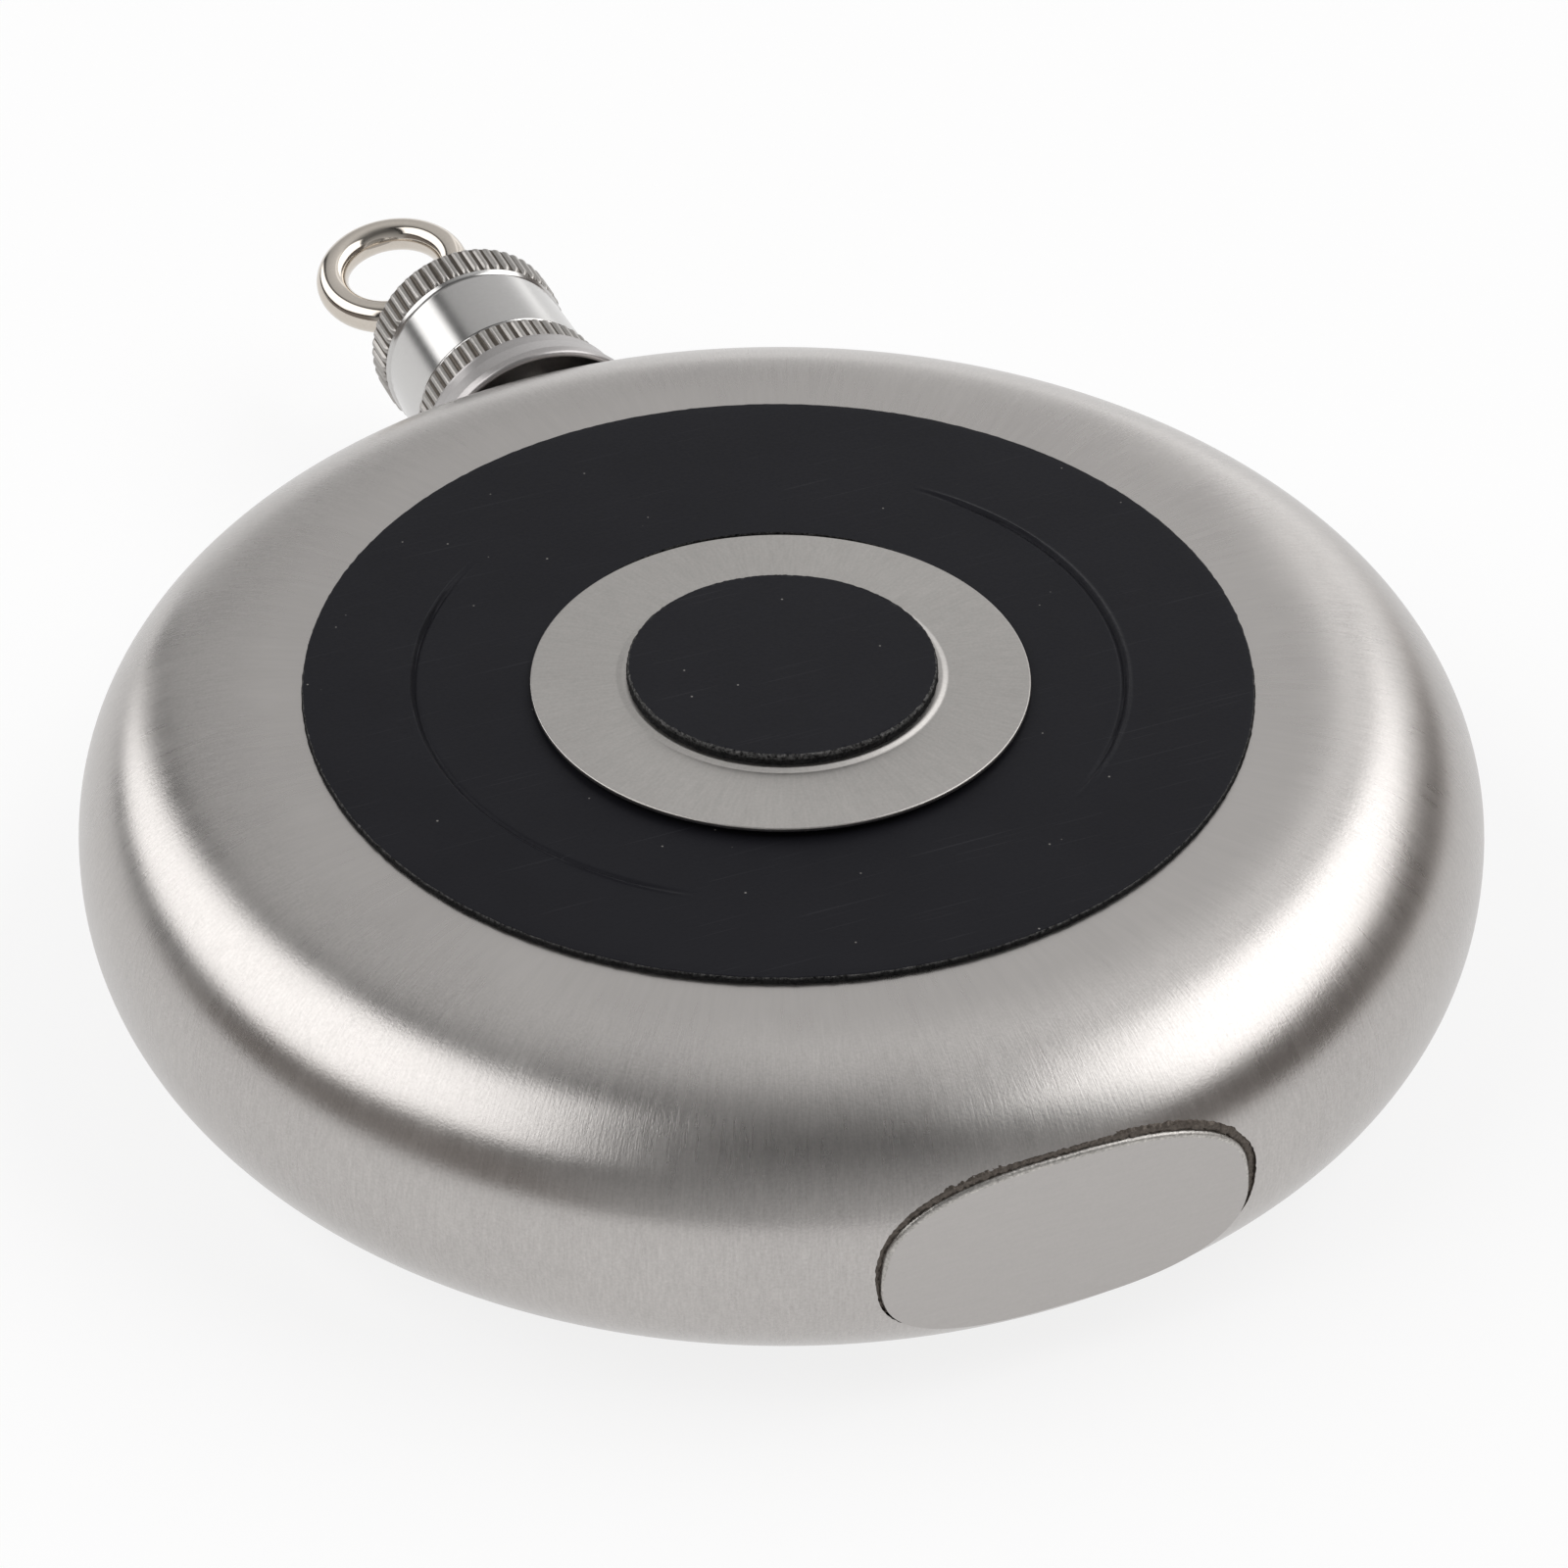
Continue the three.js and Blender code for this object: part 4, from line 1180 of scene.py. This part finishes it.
# Corners of the patches on the studio's dome: azimuth and elevation in degrees, as studio_way takes them
LEFT_FLAG = ((167, -1), (181, 26), (228, 30), (245, -2))
LEFT_FLAG_LIGHT = 0.24
RIGHT_FLAG = ((-45, 3), (-37, 24), (37, 29), (63, -1))
RIGHT_FLAG_LIGHT = 0.17
FLAG_TINT = (1.0, 0.9, 0.84)
RIGHT_WING = ((55, 12), (46, 64), (66, 60), (75, 22), (78, 1))
RIGHT_WING_LIGHT = 1.47
LEFT_BOX = ((126, 2), (142, 39), (166, 61), (213, 70), (235, 35), (195, 22))
LEFT_BOX_LIGHT = 2.2
LEFT_HOOD = 0.04
RIGHT_BOX = ((-26, 29), (-25, 62), (29, 66), (48, 54), (62, 22), (25, 27))
RIGHT_BOX_LIGHT = 2.72
RIGHT_HOOD = 0.62


def studio_way(azimuth, elevation):
    """A direction from the flask: azimuth 0 is right in the camera's view and 90 is away from the camera."""
    turn = math.radians(azimuth) + VIEW_AZIMUTH
    rise = math.radians(elevation)
    return Vector((math.cos(rise) * math.cos(turn), math.cos(rise) * math.sin(turn), math.sin(rise)))


def graded(tree, value, steps):
    """A grey ramp through (place, level) steps."""
    ramp = node(tree, "ShaderNodeValToRGB", {"Fac": value})
    stops = ramp.color_ramp.elements
    for place, _ in steps[1:-1]:
        stops.new(place)
    for stop, (place, level) in zip(stops, steps):
        stop.position = place
        stop.color = (level, level, level, 1)
    return ramp.outputs[0]


def eased_step(tree, value, start, end):
    """0 below start, 1 above end, and a soft change between them."""
    return node(tree, "ShaderNodeMapRange", {
        "Value": value, "From Min": start, "From Max": end,
    }, interpolation_type="SMOOTHSTEP").outputs[0]


def patch_depth(tree, way, corners):
    """How far a direction lies inside a patch of the dome: the sine of its angle to the nearest edge."""
    ways = [studio_way(*corner) for corner in corners]
    middle = sum(ways, Vector())
    depth = None
    for first, second in zip(ways, ways[1:] + ways[:1]):
        edge = first.cross(second).normalized()
        if edge.dot(middle) < 0:
            edge.negate()
        facing = node(tree, "ShaderNodeVectorMath", {0: way, 1: edge}, operation="DOT_PRODUCT")
        reach = facing.outputs["Value"]
        depth = maths(tree, "MINIMUM", depth, reach) if depth else reach
    return depth


def laid_over(tree, light, share, level):
    """light, covered by a level over a share of it."""
    kept = maths(tree, "MULTIPLY", light, maths(tree, "SUBTRACT", 1.0, share))
    return maths(tree, "ADD", kept, maths(tree, "MULTIPLY", share, level))


def studio():
    """World light: the pale sweep, brighter to the right, under the flags, the wing and the boxes."""
    world = bpy.data.worlds.new("studio")
    world.use_nodes = True
    bpy.context.scene.world = world
    tree = world.node_tree
    way = node(tree, "ShaderNodeTexCoord", {}).outputs["Generated"]
    facing = node(tree, "ShaderNodeVectorRotate", {
        "Vector": way, "Axis": (0, 0, 1), "Angle": -VIEW_AZIMUTH,
    }, rotation_type="AXIS_ANGLE").outputs[0]
    parts = node(tree, "ShaderNodeSeparateXYZ", {"Vector": facing}).outputs
    over = between(tree, maths(tree, "ARCTAN2", parts["Z"], parts["Y"]), 0.0, 1.0, 0.0, math.pi)
    lean = between(tree, parts["X"], 1 - SWEEP_LEAN, 1 + SWEEP_LEAN, -1.0, 1.0)
    sweep = graded(tree, over, [(angle / 180, level) for angle, level in SWEEP])
    light = maths(tree, "MULTIPLY", sweep, lean)
    warm = 0.0
    for corners, level, softness, warmth in (
        (LEFT_FLAG, LEFT_FLAG_LIGHT, FLAG_SOFTNESS, 1.0),
        (RIGHT_FLAG, RIGHT_FLAG_LIGHT, FLAG_SOFTNESS, 1.0),
        (RIGHT_WING, RIGHT_WING_LIGHT, EDGE_SOFTNESS, 0.0),
    ):
        share = eased_step(tree, patch_depth(tree, way, corners), -softness, softness)
        light = laid_over(tree, light, share, level)
        warm = laid_over(tree, warm, share, warmth)
    for corners, level, hood in (
        (LEFT_BOX, LEFT_BOX_LIGHT, LEFT_HOOD),
        (RIGHT_BOX, RIGHT_BOX_LIGHT, RIGHT_HOOD),
    ):
        depth = patch_depth(tree, way, corners)
        dark = eased_step(tree, depth, -HOOD_WIDTH, -EDGE_SOFTNESS)
        light = maths(tree, "MULTIPLY", light, between(tree, dark, 1.0, hood))
        share = eased_step(tree, depth, -EDGE_SOFTNESS, EDGE_SOFTNESS)
        light = laid_over(tree, light, share, level)
        warm = laid_over(tree, warm, share, 0.0)
    tint = blended(tree, warm, (1, 1, 1), FLAG_TINT)
    colour = node(tree, "ShaderNodeVectorMath", {0: tint, "Scale": light}, operation="SCALE").outputs[0]
    tree.links.new(colour, tree.nodes["Background"].inputs["Color"])


def floor():
    """A white floor that keeps a soft shadow; the camera and the metal see it brighter than it lights."""
    bm = bmesh.new()
    bmesh.ops.create_grid(bm, x_segments=FLOOR_CELLS, y_segments=FLOOR_CELLS, size=FLOOR_SIZE * MM)
    mesh = bpy.data.meshes.new("floor")
    bm.to_mesh(mesh)
    bm.free()
    material, tree, shader = new_material("floor_white", 0.0)
    tint = node(tree, "ShaderNodeTexNoise", {"Scale": FLOOR_NOISE}).outputs[0]
    tree.links.new(blended(tree, tint, FLOOR_DARK, FLOOR_LIGHT), shader.inputs["Base Color"])
    shader.inputs["Roughness"].default_value = FLOOR_ROUGH
    shader.inputs["Specular IOR Level"].default_value = 0.0
    path = node(tree, "ShaderNodeLightPath", {}).outputs
    seen = maths(tree, "MAXIMUM", path["Is Camera Ray"], path["Is Glossy Ray"])
    seen = maths(tree, "MAXIMUM", seen, path["Is Transmission Ray"])
    white = node(tree, "ShaderNodeEmission", {"Color": (1, 1, 1, 1), "Strength": 1.0}).outputs[0]
    share = maths(tree, "MULTIPLY", seen, FLOOR_WHITE)
    mixed = node(tree, "ShaderNodeMixShader", {"Fac": share, 1: shader.outputs[0], 2: white}).outputs[0]
    tree.links.new(mixed, tree.nodes["Material Output"].inputs["Surface"])
    mesh.materials.append(material)
    made = bpy.data.objects.new("floor", mesh)
    bpy.context.scene.collection.objects.link(made)


def camera():
    """The camera of the photograph."""
    lens = bpy.data.cameras.new("view")
    lens.sensor_width = SENSOR
    lens.lens = VIEW_FOCAL
    lens.clip_start = CLIP_START * MM
    made = bpy.data.objects.new("view", lens)
    back = Vector((math.sin(VIEW_AZIMUTH), -math.cos(VIEW_AZIMUTH), 0)) * VIEW_BACK
    place = (back + Vector((0, 0, BODY_THICKNESS + VIEW_HEIGHT))) * MM
    aim = Matrix.Rotation(VIEW_AZIMUTH + VIEW_PAN, 4, "Z") @ Matrix.Rotation(math.pi / 2 - VIEW_TILT, 4, "X")
    made.matrix_world = Matrix.Translation(place) @ aim @ Matrix.Rotation(VIEW_ROLL, 4, "Z")
    bpy.context.scene.collection.objects.link(made)
    bpy.context.scene.camera = made


studio()
floor()
camera()
bpy.context.scene.view_settings.view_transform = "Standard"
